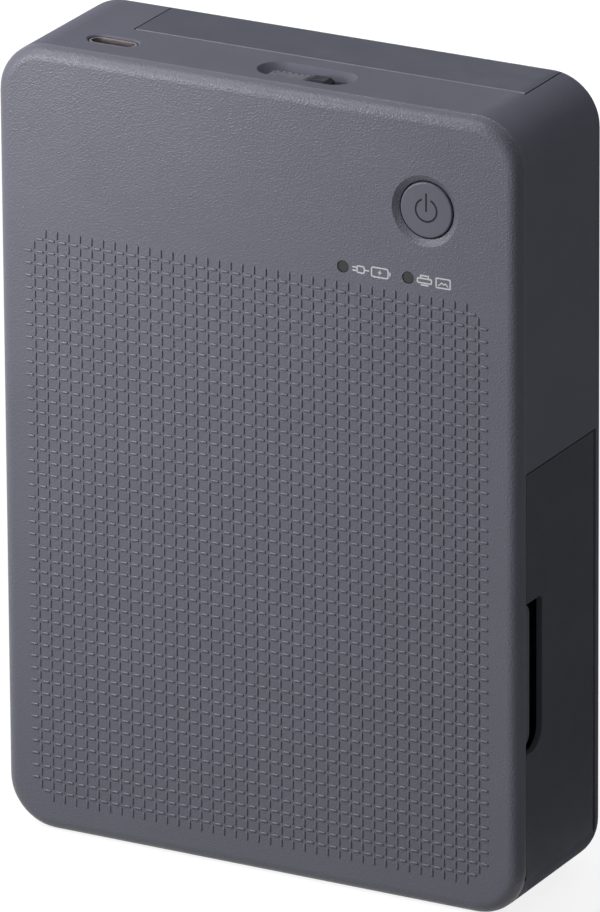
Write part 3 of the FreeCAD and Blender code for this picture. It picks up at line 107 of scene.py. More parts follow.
# Slider's grip: places along X in the frame, its pad's depth under the top, its nub's height
knurl_pitch_x = 1.15 * mm
knurl_pitch_y = 0.9 * mm
knurl_height = 0.42 * mm
knurl_crown = 0.5
knurl_left = -1.75 * mm
knurl_columns = 12
knurl_rows = 10
pad_drop = 1.6 * mm
nub_x = 7.6 * mm
nub_rise = 1.1 * mm
arrow_size = 0.62 * mm
arrow_width = 0.22 * mm
arrow_thickness = 0.06 * mm

# Glossier strip on the bevel of the rear cover's flap, lighter in colour as a painted highlight
flap_bevel = 0.3 * mm
flap_end_gap = 0.1 * mm

# Values that the finishes share, first the range that holds most of a noise's values
noise_range = (0.3, 0.7)
bevel_samples = 4
usual_grain = 0.3 * mm
usual_edge = 0.12 * mm
thin_edge = 0.05 * mm

# Studio
key_place = (-0.12, -0.16, 0.165)
key_size = 0.08
key_power = 0.275
upper_place = (-0.40, -0.40, 0.82)
upper_size = 0.26
upper_power = 2.9
rear_place = (-0.14, 0.60, 0.12)
rear_size = 0.3
rear_power = 1.7
sky_colour = (0.98, 0.98, 1.0, 1.0)
ambient_light = 0.36
backdrop_light = 1.0
white = (1.0, 1.0, 1.0, 1.0)
floor_tone = 0.22
floor_roughness = 0.9
floor_glow = 0.85
floor_reach = 6.0
floor_drop = 0.05 * mm
flag_near_x = 0.06
flag_far_x = 0.4
flag_front_y = -0.6
flag_back_y = 0.9
flag_height = 0.7
flag_tone = 0.36
flag_roughness = 1.0

# Camera, fitted to the photo's silhouette
camera_place = Vector((0.942969, -1.736533, 0.802304))
camera_right = Vector((0.87976999, 0.47535862, -0.00624086))
camera_up = Vector((-0.15956125, 0.30762319, 0.93803421))
camera_lens = 477.32
camera_sensor = 36.0
camera_near = 0.1
camera_far = 20.0


def linear(code):
    """A colour written as in a picture, such as 6b6b75, as linear light by the standard curve."""
    parts = [int(code[i : i + 2], 16) / 255 for i in (0, 2, 4)]
    return tuple(p / 12.92 if p <= 0.04045 else ((p + 0.055) / 1.055) ** 2.4 for p in parts) + (1.0,)


class Finish:
    """A material with its own small node tree, wired from object coordinates."""

    def __init__(self, name, code):
        self.colour = linear(code)
        self.material = bpy.data.materials.new(name)
        self.material.use_nodes = True
        self.nodes = self.material.node_tree.nodes
        self.links = self.material.node_tree.links
        self.shader = self.nodes["Principled BSDF"]
        self.place = self.nodes.new("ShaderNodeTexCoord").outputs["Object"]

    def link(self, source, target):
        self.links.new(source, target)

    def stretched(self, scale):
        """The place, scaled along each axis, so that a noise on it turns into streaks."""
        node = self.nodes.new("ShaderNodeMapping")
        node.inputs["Scale"].default_value = scale
        self.link(self.place, node.inputs["Vector"])
        return node.outputs["Vector"]

    def noise(self, size, detail, vector=None):
        node = self.nodes.new("ShaderNodeTexNoise")
        node.inputs["Scale"].default_value = 1 / size
        node.inputs["Detail"].default_value = detail
        self.link(vector or self.place, node.inputs["Vector"])
        return node.outputs["Fac"]

    def cells(self, size, softness=None):
        """Cells of that size, with rounded borders where a softness is given."""
        node = self.nodes.new("ShaderNodeTexVoronoi")
        node.inputs["Scale"].default_value = 1 / size
        if softness is not None:
            node.feature = "SMOOTH_F1"
            node.inputs["Smoothness"].default_value = softness
        self.link(self.place, node.inputs["Vector"])
        return node

    def bands(self, size, direction, distortion=0.0, detail=0.0):
        """Bands of that size. The wave texture takes the sine of a multiple of its scaled place."""
        wave_multiple = 20
        node = self.nodes.new("ShaderNodeTexWave")
        node.bands_direction = direction
        node.inputs["Scale"].default_value = turn / (wave_multiple * size)
        node.inputs["Distortion"].default_value = distortion
        node.inputs["Detail"].default_value = detail
        self.link(self.place, node.inputs["Vector"])
        return node.outputs["Fac"]

    def spread(self, value, before=noise_range, after=(0.0, 1.0)):
        """The value, moved from one range to another and kept inside it."""
        node = self.nodes.new("ShaderNodeMapRange")
        self.link(value, node.inputs["Value"])
        node.inputs["From Min"].default_value = before[0]
        node.inputs["From Max"].default_value = before[1]
        node.inputs["To Min"].default_value = after[0]
        node.inputs["To Max"].default_value = after[1]
        return node.outputs["Result"]

    def gloss(self, value, roughness, less, more, before=noise_range):
        """A roughness that follows the value, from somewhat less than its plain one to more."""
        return self.spread(value, before, (roughness - less, roughness + more))

    def mixed(self, share, first, second):
        node = self.nodes.new("ShaderNodeMix")
        node.data_type = "RGBA"
        self.link(share, node.inputs["Factor"])
        for socket, value in ((node.inputs["A"], first), (node.inputs["B"], second)):
            if isinstance(value, tuple):
                socket.default_value = value
            else:
                self.link(value, socket)
        return node.outputs["Result"]

    def tone(self, share):
        """The finish's own colour, darker or lighter."""
        return tuple(part * share for part in self.colour[:3]) + (1.0,)

    def toned(self, value, dark, light):
        """The finish's colour, from its dark tone to its light one as the value goes from 0 to 1."""
        return self.mixed(value, self.tone(dark), self.tone(light))

    def sum(self, first, second, share):
        """The first value and a share of the second."""
        node = self.nodes.new("ShaderNodeMath")
        node.operation = "MULTIPLY_ADD"
        self.link(second, node.inputs[0])
        node.inputs[1].default_value = share
        self.link(first, node.inputs[2])
        return node.outputs["Value"]

    def rounded(self, radius):
        """The surface's normal, as if its edges had that radius."""
        node = self.nodes.new("ShaderNodeBevel")
        node.samples = bevel_samples
        node.inputs["Radius"].default_value = radius
        return node.outputs["Normal"]

    def relief(self, height, depth, edge=0.0):
        """Relief of that depth, and edges that look rounded where their radius is given."""
        bump = self.nodes.new("ShaderNodeBump")
        bump.inputs["Distance"].default_value = depth
        self.link(height, bump.inputs["Height"])
        if edge:
            self.link(self.rounded(edge), bump.inputs["Normal"])
        self.link(bump.outputs["Normal"], self.shader.inputs["Normal"])

    def edge_highlight(self, radius):
        """1 along the edges, which the finish paints lighter as a highlight, and 0 elsewhere."""
        cosine_where_it_starts = 0.93
        cosine_where_it_is_full = 0.8
        rounding = self.rounded(radius)
        plain = self.nodes.new("ShaderNodeNewGeometry").outputs["Normal"]
        turned = self.nodes.new("ShaderNodeVectorMath")
        turned.operation = "DOT_PRODUCT"
        self.link(rounding, turned.inputs[0])
        self.link(plain, turned.inputs[1])
        return self.spread(turned.outputs["Value"], (cosine_where_it_starts, cosine_where_it_is_full))

    def set(self, **values):
        for name, value in values.items():
            socket = self.shader.inputs[name.replace("_", " ")]
            if isinstance(value, (int, float, tuple)):
                socket.default_value = value
            else:
                self.link(value, socket)


def moulded(name, code, roughness, depth, grain=usual_grain, specular=0.3, edge=usual_edge):
    """Moulded plastic: cells of fine grain, slow tone drift, slightly uneven gloss, and edges painted
    lighter as a highlight.
    """
    tone_change = 0.05
    # How much lighter the edges are painted, as a painted highlight
    edge_highlight_tone = 1.35
    finish = Finish(name, code)
    drift = finish.noise(size=14 * mm, detail=3)
    speckle = finish.noise(size=1.6 * grain, detail=2)
    shade = finish.sum(drift, speckle, share=0.8)
    share = finish.spread(shade, before=(0.55, 1.25))
    pits = finish.cells(grain, softness=0.6).outputs["Distance"]
    height = finish.sum(pits, finish.noise(size=0.45 * grain, detail=2), share=0.6)
    uneven = finish.gloss(finish.noise(size=5 * mm, detail=4), roughness, less=0.05, more=0.05)
    plain = finish.toned(share, dark=1 - tone_change, light=1 + tone_change)
    # Base colour with a painted highlight along the edges
    finish.set(
        Base_Color=finish.mixed(finish.edge_highlight(edge), plain, finish.tone(edge_highlight_tone)),
        Roughness=uneven,
        Specular_IOR_Level=specular,
    )
    finish.relief(height, depth, edge)
    return finish.material


def metal(name, code, roughness, stretch):
    """Steel or aluminium with fine lines along the way it was rolled or turned."""
    finish = Finish(name, code)
    lines = finish.noise(size=0.25 * mm, detail=4, vector=finish.stretched(stretch))
    patches = finish.noise(size=6 * mm, detail=3)
    finish.set(
        Base_Color=finish.toned(patches, dark=0.86, light=1.08),
        Roughness=finish.gloss(lines, roughness, less=0.07, more=0.09),
        Metallic=1.0,
    )
    finish.relief(lines, depth=0.002 * mm, edge=0.08 * mm)
    return finish.material


def sheet_steel(name, code, roughness):
    """Zinc-plated sheet, with the faint crystal patches of its coating."""
    streaks = (1.0, 0.2, 0.04)
    finish = Finish(name, code)
    crystals = finish.cells(size=2.2 * mm).outputs["Color"]
    grey = finish.nodes.new("ShaderNodeRGBToBW")
    finish.link(crystals, grey.inputs["Color"])
    patches = grey.outputs["Val"]
    scratches = finish.noise(size=0.3 * mm, detail=4, vector=finish.stretched(streaks))
    base = finish.toned(patches, dark=0.82, light=1.1)
    dulled = finish.sum(scratches, patches, share=0.4)
    finish.set(
        Base_Color=base,
        Roughness=finish.gloss(dulled, roughness, less=0.08, more=0.1, before=(0.4, 0.9)),
        Metallic=1.0,
    )
    finish.relief(scratches, depth=0.002 * mm, edge=0.1 * mm)
    return finish.material


def rubber(name, code, roughness=0.75):
    """Matt rubber with a little dust on it."""
    finish = Finish(name, code)
    dust = finish.noise(size=2.5 * mm, detail=5)
    finish.set(
        Base_Color=finish.toned(dust, dark=0.8, light=1.35),
        Roughness=finish.gloss(dust, roughness, less=0.1, more=0.1),
        Specular_IOR_Level=0.25,
    )
    finish.relief(finish.noise(size=0.12 * mm, detail=3), depth=0.01 * mm, edge=0.1 * mm)
    return finish.material


def circuit_board(name, mask_code, copper_code):
    """Solder mask over copper tracks, with vias."""
    track_border = (0.62, 0.7)
    via_border = (0.16, 0.12)
    finish = Finish(name, mask_code)
    tracks = finish.bands(size=1.3 * mm, direction="DIAGONAL", distortion=6.0, detail=1.0)
    on_track = finish.spread(tracks, track_border)
    vias = finish.cells(size=3.1 * mm).outputs["Distance"]
    on_via = finish.spread(vias, via_border)
    plain = finish.toned(on_track, dark=1, light=1.7)
    finish.set(
        Base_Color=finish.mixed(on_via, plain, linear(copper_code)),
        Roughness=0.38,
        Specular_IOR_Level=0.5,
    )
    finish.relief(on_track, depth=0.03 * mm)
    return finish.material


def paper(name, code):
    """A stack of glossy sheets: faint lines at its cut edges."""
    finish = Finish(name, code)
    layers = finish.bands(size=0.26 * mm, direction="Y")
    fibre = finish.noise(size=0.2 * mm, detail=4)
    height = finish.sum(layers, fibre, share=0.4)
    finish.set(
        Base_Color=finish.toned(finish.spread(height, before=(0.1, 1.3)), dark=0.86, light=1),
        Roughness=0.42,
        Specular_IOR_Level=0.4,
    )
    finish.relief(height, depth=0.01 * mm)
    return finish.material


def ink_film(name, first_code, second_code):
    """Dye film: panels of plain colour along its length, glossy, with small creases."""
    across = (0.3, 1.0, 1.0)
    finish = Finish(name, first_code)
    bands = finish.bands(size=30 * mm, direction="Z", distortion=0.4)
    panels = finish.spread(bands, before=(0.35, 0.65))
    crease = finish.noise(size=3 * mm, detail=3, vector=finish.stretched(across))
    finish.set(
        Base_Color=finish.mixed(panels, finish.colour, linear(second_code)),
        Roughness=finish.spread(crease, after=(0.18, 0.3)),
        Coat_Weight=0.4,
    )
    finish.relief(crease, depth=0.05 * mm)
    return finish.material


def wrapped_cell(name, code):
    """A battery's shrink wrap, with soft wrinkles."""
    upright = (1.0, 1.0, 0.3)
    finish = Finish(name, code)
    wrinkle = finish.noise(size=4 * mm, detail=3, vector=finish.stretched(upright))
    finish.set(
        Base_Color=finish.toned(wrinkle, dark=0.85, light=1.15),
        Roughness=finish.spread(wrinkle, after=(0.28, 0.42)),
        Specular_IOR_Level=0.5,
    )
    finish.relief(wrinkle, depth=0.12 * mm, edge=0.15 * mm)
    return finish.material


def smoked(name, dark_code, light_code):
    """Smoked plastic of the light windows, with a thin clear coat."""
    finish = Finish(name, dark_code)
    haze = finish.noise(size=0.5 * mm, detail=3)
    finish.set(
        Base_Color=finish.mixed(haze, finish.colour, linear(light_code)),
        Roughness=finish.spread(haze, after=(0.22, 0.34)),
        Coat_Weight=0.12,
    )
    finish.relief(haze, depth=0.01 * mm, edge=0.15 * mm)
    return finish.material


def print_ink(name, code):
    """Pad-printed ink, slightly uneven as it lies on the grain."""
    finish = Finish(name, code)
    grain = finish.noise(size=0.18 * mm, detail=3)
    finish.set(
        Base_Color=finish.toned(grain, dark=0.88, light=1),
        Roughness=0.5,
        Specular_IOR_Level=0.2,
    )
    finish.relief(grain, depth=0.01 * mm)
    return finish.material


# Streaks of the metals: how much finer their noise is along X, Y and Z
about_x = (12.0, 0.4, 0.4)
even = (1.0, 1.0, 1.0)
along_x = (0.15, 1.0, 1.0)
along_z = (1.0, 1.0, 0.1)

finishes = {
    "front": moulded(
        "front_slate", "61626d", roughness=0.36, depth=0.066 * mm, grain=0.32 * mm, specular=0.45
    ),
    "housing": moulded("housing_slate", "70717d", roughness=0.6, depth=0.008 * mm, specular=0.02),
    "rear": moulded("rear_slate", "5e606c", roughness=0.55, depth=0.008 * mm, specular=0.03),
    "door": moulded("door_grey", "50525a", roughness=0.5, depth=0.006 * mm, specular=0.12),
    "button": moulded("button_slate", "64656f", roughness=0.36, depth=0.012 * mm),
    "dash": moulded(
        "dash_slate", "676772", roughness=0.36, depth=0.006 * mm, specular=0.4, edge=thin_edge
    ),
    # Lighter than the rear cover: a painted highlight on the flap's bevel
    "rim": moulded("highlight_painted_rim", "75767f", roughness=0.38, depth=0.004 * mm, edge=thin_edge),
    # Knurl lighter than the slider it stands on: a painted highlight
    "grip": moulded(
        "knurl_painted_highlight", "94959e", roughness=0.5, depth=0.006 * mm, specular=0.05, edge=thin_edge
    ),
    "slider": moulded(
        "slider_dark", "3d3e45", roughness=0.5, depth=0.006 * mm, specular=0.05, edge=0.1 * mm
    ),
    "inner": moulded("inner_black", "2a2a2d", roughness=0.55, depth=0.012 * mm, grain=0.35 * mm),
    "gear": moulded(
        "gear_natural", "d9d6cc", roughness=0.35, depth=0.004 * mm, grain=0.5 * mm, specular=0.5
    ),
    "lens": smoked("smoked_lens", "1c1c1f", "28282b"),
    "sheet": sheet_steel("zinc_sheet", "b9bcc0", roughness=0.36),
    "bright": metal("ground_steel", "c9cbd0", roughness=0.2, stretch=about_x),
    "screw": metal("black_zinc", "6a6a6e", roughness=0.34, stretch=even),
    "head": metal("cast_aluminium", "a9abae", roughness=0.42, stretch=along_x),
    "ceramic": moulded(
        "glazed_ceramic", "d8cfae", roughness=0.22, depth=0.002 * mm, grain=0.6 * mm, specular=0.6
    ),
    "board": circuit_board("board_green", "14462c", "b08a3c"),
    "foot": rubber("foot_rubber", "232325"),
    "roller": rubber("roller_rubber", "1d1d20", roughness=0.62),
    "ribbon": ink_film("dye_film", "4a2348", "5a4a1c"),
    "paper": paper("photo_stack", "eef0ee"),
    "cell": wrapped_cell("cell_wrap", "5f7d92"),
    "ink_dark": print_ink("mark_dark", "222227"),
    "ink_pale": print_ink("mark_pale", "d5d5d9"),
    "shell": metal("connector_shell", "948b8e", roughness=0.5, stretch=along_z),
}

slot_finish = {
    "front_plastic": "front",
    "housing_plastic": "housing",
    "rear_plastic": "rear",
    "door_plastic": "door",
    "inner_plastic": "inner",
    "gear_plastic": "gear",
    "smoked_lens": "lens",
    "plated_steel": "sheet",
    "bright_steel": "bright",
    "screw_steel": "screw",
    "head_metal": "head",
    "head_ceramic": "ceramic",
    "board_green": "board",
    "foot_rubber": "foot",
    "roller_rubber": "roller",
    "ribbon": "ribbon",
    "print_paper": "paper",
    "cell_wrap": "cell",
}
node_finish = {"usb_socket": "shell", "open_slider": "slider", "power_button": "button"}


def dress_nodes():
    """Every CAD node gets the finish of its material slot, or its own."""
    for part in frame["record"]["subparts"]:
        node = part["node"]
        finish = node_finish.get(node, slot_finish[part["material_slot"]])
        for held in frame["nodes"][node].material_slots:
            held.material = finishes[finish]


def piece(name, mesh, finish, body, smooth=False):
    """A finished mesh becomes a piece of the object that rides on a body."""
    made = bpy.data.objects.new(name, mesh)
    bpy.context.scene.collection.objects.link(made)
    mesh.materials.append(finishes[finish])
    mesh.polygons.foreach_set("use_smooth", [smooth] * len(mesh.polygons))
    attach(made, body)
    return made


def closed_mesh(mesh, name):
    """What was drawn in an open bmesh, as a mesh of that name."""
    data = bpy.data.meshes.new(name)
    mesh.to_mesh(data)
    mesh.free()
    return data


def join_rings(mesh, first, second):
    """A band of faces between two rings of corners."""
    for i in range(len(first)):
        j = (i + 1) % len(first)
        mesh.faces.new((first[i], first[j], second[j], second[i]))


def thicken(mesh, thickness):
    """Flat faces become a layer that stands out towards the front, in the same order each run."""
    under = list(mesh.faces)
    rim = [edge for edge in mesh.edges if edge.is_boundary]
    above = {v: mesh.verts.new((v.co.x, v.co.y - thickness, v.co.z)) for v in list(mesh.verts)}
    for face in under:
        mesh.faces.new([above[v] for v in face.verts])
    for edge in rim:
        first, second = edge.verts
        mesh.faces.new((first, second, above[second], above[first]))


def pillow_template(length, width):
    """Rings of (along, across, height) for one rounded dash, then its ridge's two ends."""
    radius = width / 2
    straight = length / 2 - radius
    rings = []
    for share, height in ((1.0, 0.0), (dash_shoulder_share, dash_shoulder_height_share)):
        ring = []
        for end in (1, -1):
            for step in range(dash_end_steps + 1):
                angle = -math.pi / 2 + math.pi * step / dash_end_steps
                along = end * (straight + radius * share * math.cos(angle))
                ring.append((along, end * radius * share * math.sin(angle), height))
        rings.append(ring)
    ridge = [(straight, 0.0, 1.0), (-straight, 0.0, 1.0)]
    return rings, ridge


def add_pillow(mesh, template, centre_x, centre_z, upright):
    """One dash on the front face, into an open bmesh."""
    rings, ridge = template

    def put(point):
        along, across, height = point
        x, z = (across, along) if upright else (along, across)
        lift = height * dash_height if height else -skin
        return mesh.verts.new((centre_x + x, face_y - lift, centre_z + z))

    base, shoulder = [[put(point) for point in ring] for ring in rings]
    tops = [put(point) for point in ridge]
    join_rings(mesh, base, shoulder)
    for end in (0, 1):
        first = end * (dash_end_steps + 1)
        last = first + dash_end_steps
        for step in range(first, last):
            mesh.faces.new((shoulder[step], shoulder[step + 1], tops[end]))
        after = (last + 1) % len(shoulder)
        mesh.faces.new((shoulder[last], shoulder[after], tops[1 - end], tops[end]))
    mesh.faces.new(base)


def dash_field(mesh, length, rows, columns, upright):
    """All dashes of one direction, in rows and columns, without the four at the corners."""
    template = pillow_template(length, dash_width)
    for row in range(rows):
        z = dash_field_centre_z + (row - (rows - 1) / 2) * dash_pitch
        for column in range(columns):
            x = dash_field_centre_x + (column - (columns - 1) / 2) * dash_pitch
            at_corner = row in (0, rows - 1) and column in (0, columns - 1)
            if not at_corner:
                add_pillow(mesh, template, x, z, upright)


def front_pattern():
    """A square grid of raised dashes that never touch where the lines would cross."""
    mesh = bmesh.new()
    dash_field(mesh, dash_across_length, dash_rows, dash_columns + 1, False)
    dash_field(mesh, dash_upright_length, dash_rows + 1, dash_columns, True)
    bmesh.ops.recalc_face_normals(mesh, faces=mesh.faces)
    data = closed_mesh(mesh, "front_pattern")
    made = piece("front_pattern", data, "dash", "housing", smooth=True)
    corners_of_underside = 2 * (dash_end_steps + 1)
    for face in made.data.polygons:
        face.use_smooth = len(face.vertices) < corners_of_underside


def arc(centre, radius, start, end):
    """Points along a round stretch, in the face's plane."""
    steps = max(arc_least_steps, math.ceil(abs(end - start) / arc_step))
    angles = [start + (end - start) * i / steps for i in range(steps + 1)]
    return [(centre[0] + radius * math.cos(a), centre[1] + radius * math.sin(a)) for a in angles]


def round_box(left, right, bottom, top, radius):
    """Outline of a rectangle with rounded corners, anticlockwise."""
    corners = ((right, top), (left, top), (left, bottom), (right, bottom))
    points = []
    for quarter, (x, z) in enumerate(corners):
        centre_x = x - radius if x == right else x + radius
        centre_z = z - radius if z == top else z + radius
        start = quarter * math.pi / 2
        points += arc((centre_x, centre_z), radius, start, start + math.pi / 2)
    return points


def offset_pairs(points, width, closed):
    """The two edges of a line of that width, mitred at its corners."""
    count = len(points)
    left, right = [], []
    for i, point in enumerate(points):
        here = Vector(point)
        before = Vector(points[i - 1]) if (closed or i > 0) else None
        after = Vector(points[(i + 1) % count]) if (closed or i < count - 1) else None
        runs = [(here - before).normalized()] if before else []
        runs += [(after - here).normalized()] if after else []
        normals = [Vector((-run.y, run.x)) for run in runs]
        mean = sum(normals, Vector((0, 0))).normalized()
        reach = width / 2 / max(mean.dot(normals[0]), mitre_least)
        left.append(here + mean * reach)
        right.append(here - mean * reach)
    return left, right


def stroke_faces(mesh, points, width, closed=False):
    """A drawn line as flat faces in x and z, with round ends where it is open."""
    left, right = offset_pairs(points, width, closed)
    left_verts = [mesh.verts.new((p.x, 0, p.y)) for p in left]
    right_verts = [mesh.verts.new((p.x, 0, p.y)) for p in right]
    count = len(points)
    for i in range(count if closed else count - 1):
        j = (i + 1) % count
        mesh.faces.new((left_verts[i], right_verts[i], right_verts[j], left_verts[j]))
    if closed:
        return
    for tip, inner, first, last in ((0, 1, right_verts, left_verts), (-1, -2, left_verts, right_verts)):
        here = Vector(points[tip])
        away = (here - Vector(points[inner])).normalized()
        start = math.atan2(away.y, away.x) + math.pi / 2
        bow = arc(here, width / 2, start, start - math.pi)[1:-1]
        cap = [mesh.verts.new((x, 0, z)) for x, z in bow]
        mesh.faces.new([first[tip], *cap, last[tip]])


def fill_face(mesh, points):
    mesh.faces.new([mesh.verts.new((x, 0, z)) for x, z in points])


def printed(name, draw, place, finish, body):
    """Flat marks, drawn in x and z about their own origin, as a thin layer that faces the front."""
    mesh = bmesh.new()
    draw(mesh)
    bmesh.ops.recalc_face_normals(mesh, faces=mesh.faces)
    for face in mesh.faces:
        if face.normal.y > 0:
            face.normal_flip()
    thicken(mesh, ink_thickness)
    bmesh.ops.translate(mesh, verts=mesh.verts, vec=place)
    bmesh.ops.recalc_face_normals(mesh, faces=mesh.faces)
    piece(name, closed_mesh(mesh, name), finish, body)


def draw_power(mesh):
    """An open ring and a bar."""
    start = math.pi / 2 + power_ring_gap / 2
    ring = arc((0, 0), power_ring_radius, start, start + turn - power_ring_gap)
    stroke_faces(mesh, ring, power_stroke)
    stroke_faces(mesh, [(0, power_bar_bottom), (0, power_bar_top)], power_stroke)


def draw_charge(mesh):
    """A plug and a battery with a bolt."""
    half = mark_height / 2
    prong_left = 0.1 * mm
    prong_z = 0.36 * half
    plug_left = 0.9 * mm
    plug_right = 2.3 * mm
    plug_half = 0.7 * half
    plug_radius = 0.3 * mm
    cord_right = 3.1 * mm
    plug = round_box(plug_left, plug_right, -plug_half, plug_half, plug_radius)
    stroke_faces(mesh, plug, ink_width, True)
    for z in (-prong_z, prong_z):
        stroke_faces(mesh, [(prong_left, z), (plug_left - ink_width, z)], ink_width)
    stroke_faces(mesh, [(plug_right + ink_width, 0), (cord_right, 0)], ink_width)
    cell_left = 3.7 * mm
    cell_right = 6.9 * mm
    cell_radius = 0.35 * mm
    cap_x = cell_right + 1.4 * ink_width
    cap_half = 0.3 * half
    stroke_faces(mesh, round_box(cell_left, cell_right, -half, half, cell_radius), ink_width, True)
    stroke_faces(mesh, [(cap_x, -cap_half), (cap_x, cap_half)], ink_width)
    middle = (cell_left + cell_right) / 2
    lean = 0.22 * mm
    reach = 0.62 * half
    upper = [(lean, reach), (-2 * lean, -lean / 3), (-lean / 4, -lean / 3)]
    bolt = upper + [(-x, -z) for x, z in upper]
    fill_face(mesh, [(middle + x, z) for x, z in bolt])


def draw_status(mesh):
    """A printer with its sheet, and a small landscape print."""
    half = mark_height / 2
    radius = 0.2 * mm
    body_right = 2.7 * mm
    body_bottom = -0.55 * half
    body_top = 0.4 * half
    sheet_left = 0.6 * mm
    sheet_right = 2.1 * mm
    sheet_bottom = body_top + ink_width
    exit_left = 0.7 * mm
    exit_right = 2.0 * mm
    stroke_faces(mesh, round_box(0, body_right, body_bottom, body_top, radius), ink_width, True)
    sheet = [(sheet_left, sheet_bottom), (sheet_left, half)]
    sheet += [(sheet_right, half), (sheet_right, sheet_bottom)]
    stroke_faces(mesh, sheet, ink_width)
    stroke_faces(mesh, [(exit_left, -half), (exit_right, -half)], ink_width)
    print_left = 3.6 * mm
    print_right = 6.3 * mm
    ridge_stroke = 0.8 * ink_width
    stroke_faces(mesh, round_box(print_left, print_right, -half, half, radius), ink_width, True)
    hills = ((0.5 * mm, -0.5), (1.1 * mm, 0.15), (1.5 * mm, -0.25), (1.8 * mm, 0.05), (2.25 * mm, -0.5))
    ridge = [(print_left + along, share * half) for along, share in hills]
    stroke_faces(mesh, ridge, ridge_stroke)


def front_marks():
    """Generic signs beside the two light windows and on the button."""
    for name, draw, x in (
        ("charge_mark", draw_charge, charge_mark_x),
        ("status_mark", draw_status, status_mark_x),
    ):
        on_front = Vector((x, face_y + skin / 2, mark_z))
        printed(name, draw, on_front, "ink_pale", "housing")
    on_button = Vector((button_centre.x, button_low.y + skin / 2, button_centre.z))
    printed("power_mark", draw_power, on_button, "ink_dark", "power_button")


def slider_knurl():
    """Blunt diamonds on every second place of a grid, on the slider's pad, lighter than the slider as a
    painted highlight.
    """
    mesh = bmesh.new()
    pad_z = top_z - pad_drop
    half_x, half_y = knurl_pitch_x / 2, knurl_pitch_y / 2
    for column in range(knurl_columns):
        for row in range(knurl_rows):
            if (column + row) % 2:
                continue
            x = knurl_left + column * half_x
            y = slider_middle_y + (row - (knurl_rows - 1) / 2) * half_y
            rings = []
            for share, height in ((1, -skin), (knurl_crown, knurl_height)):
                corners = ((x + half_x * share, y), (x, y + half_y * share))
                corners += ((x - half_x * share, y), (x, y - half_y * share))
                rings.append([mesh.verts.new((*corner, pad_z + height)) for corner in corners])
            low, high = rings
            join_rings(mesh, low, high)
            mesh.faces.new(high)
            mesh.faces.new(low[::-1])
    data = closed_mesh(mesh, "slider_knurl")
    piece("slider_knurl", data, "grip", "open_slider")


def slider_arrow():
    """An arrow head on the slider's nub, which points the way the slider moves."""
    mesh = bmesh.new()
    outline = [(arrow_size, 0), (-arrow_size, arrow_size), (-arrow_size, -arrow_size)]
    stroke_faces(mesh, outline, arrow_width, True)
    bmesh.ops.recalc_face_normals(mesh, faces=mesh.faces)
    thicken(mesh, arrow_thickness)
    bmesh.ops.rotate(mesh, verts=mesh.verts, matrix=Matrix.Rotation(-math.pi / 2, 3, "X"))
    nub_top = top_z - pad_drop + nub_rise
    bmesh.ops.translate(mesh, verts=mesh.verts, vec=(nub_x, slider_middle_y, nub_top - skin / 2))
    bmesh.ops.recalc_face_normals(mesh, faces=mesh.faces)
    data = closed_mesh(mesh, "slider_arrow")
    piece("slider_arrow", data, "ink_dark", "open_slider")


def flap_highlight_strip():
    """The bevel along the flap's front edge, as a glossier strip whose lighter colour is a painted
    highlight.
    """
    mesh = bmesh.new()
    lift = skin / 2
    section = [
        (cover_low.y - lift, top_z - flap_bevel + lift),
        (cover_low.y + flap_bevel - lift, top_z + lift),
        (cover_low.y + flap_bevel, top_z - lift),
        (cover_low.y + lift, top_z - flap_bevel),
    ]
    rings = []
    for x in (cover_low.x + flap_end_gap, cover_high.x - flap_end_gap):
        rings.append([mesh.verts.new((x, y, z)) for y, z in section])
    left, right = rings
    join_rings(mesh, left, right)
    mesh.faces.new(left)
    mesh.faces.new(right[::-1])
    bmesh.ops.recalc_face_normals(mesh, faces=mesh.faces)
    piece("flap_highlight_strip", closed_mesh(mesh, "flap_highlight_strip"), "rim", "rear_cover")


def soft_spring(node):
    """A coil with the node's own turns, as a piece of its own that takes the node's place."""
    slots = {part["node"]: part["material_slot"] for part in frame["record"]["subparts"]}
    mesh = frame["nodes"][node].data.copy()
    mesh.materials.clear()
    made = piece(node + "_coil", mesh, slot_finish[slots[node]], "housing", smooth=True)
    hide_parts(node)
    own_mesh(made)


def soft_springs():
    """The slider's spring and the head's springs, each as a coil of its own."""
    soft_spring("slider_spring")
    soft_spring("head_springs")


def area_light(name, place, target, size, power):
    """A round lamp that points at the target."""
    lamp = bpy.data.lights.new(name, "AREA")
    lamp.shape = "DISK"
    lamp.size = size
    lamp.energy = power
    made = bpy.data.objects.new(name, lamp)
    bpy.context.scene.collection.objects.link(made)
    made.location = place
    made.rotation_mode = "QUATERNION"
    made.rotation_quaternion = (Vector(target) - Vector(place)).to_track_quat("-Z", "Y")


def seen_plainly(nodes, links):
    """1 for camera, glossy and transmission rays, which see the pale background, and 0 for the rest."""
    path = nodes.new("ShaderNodeLightPath")
    value = path.outputs["Is Camera Ray"]
    for name in ("Is Glossy Ray", "Is Transmission Ray"):
        larger = nodes.new("ShaderNodeMath")
        larger.operation = "MAXIMUM"
        links.new(value, larger.inputs[0])
        links.new(path.outputs[name], larger.inputs[1])
        value = larger.outputs["Value"]
    return value


def matt(name, tone, roughness):
    """A grey without gloss, for the stage: its material and its shader."""
    material = bpy.data.materials.new(name)
    material.use_nodes = True
    shader = material.node_tree.nodes["Principled BSDF"]
    shader.inputs["Base Color"].default_value = (tone, tone, tone, 1.0)
    shader.inputs["Roughness"].default_value = roughness
    shader.inputs["Specular IOR Level"].default_value = 0.0
    return material, shader


def stage_plane(name, corners, material):
    """One flat face that belongs to the stage and not to the object."""
    mesh = bpy.data.meshes.new(name)
    mesh.from_pydata(corners, [], [(0, 1, 2, 3)])
    mesh.materials.append(material)
    made = bpy.data.objects.new(name, mesh)
    bpy.context.scene.collection.objects.link(made)
    return made


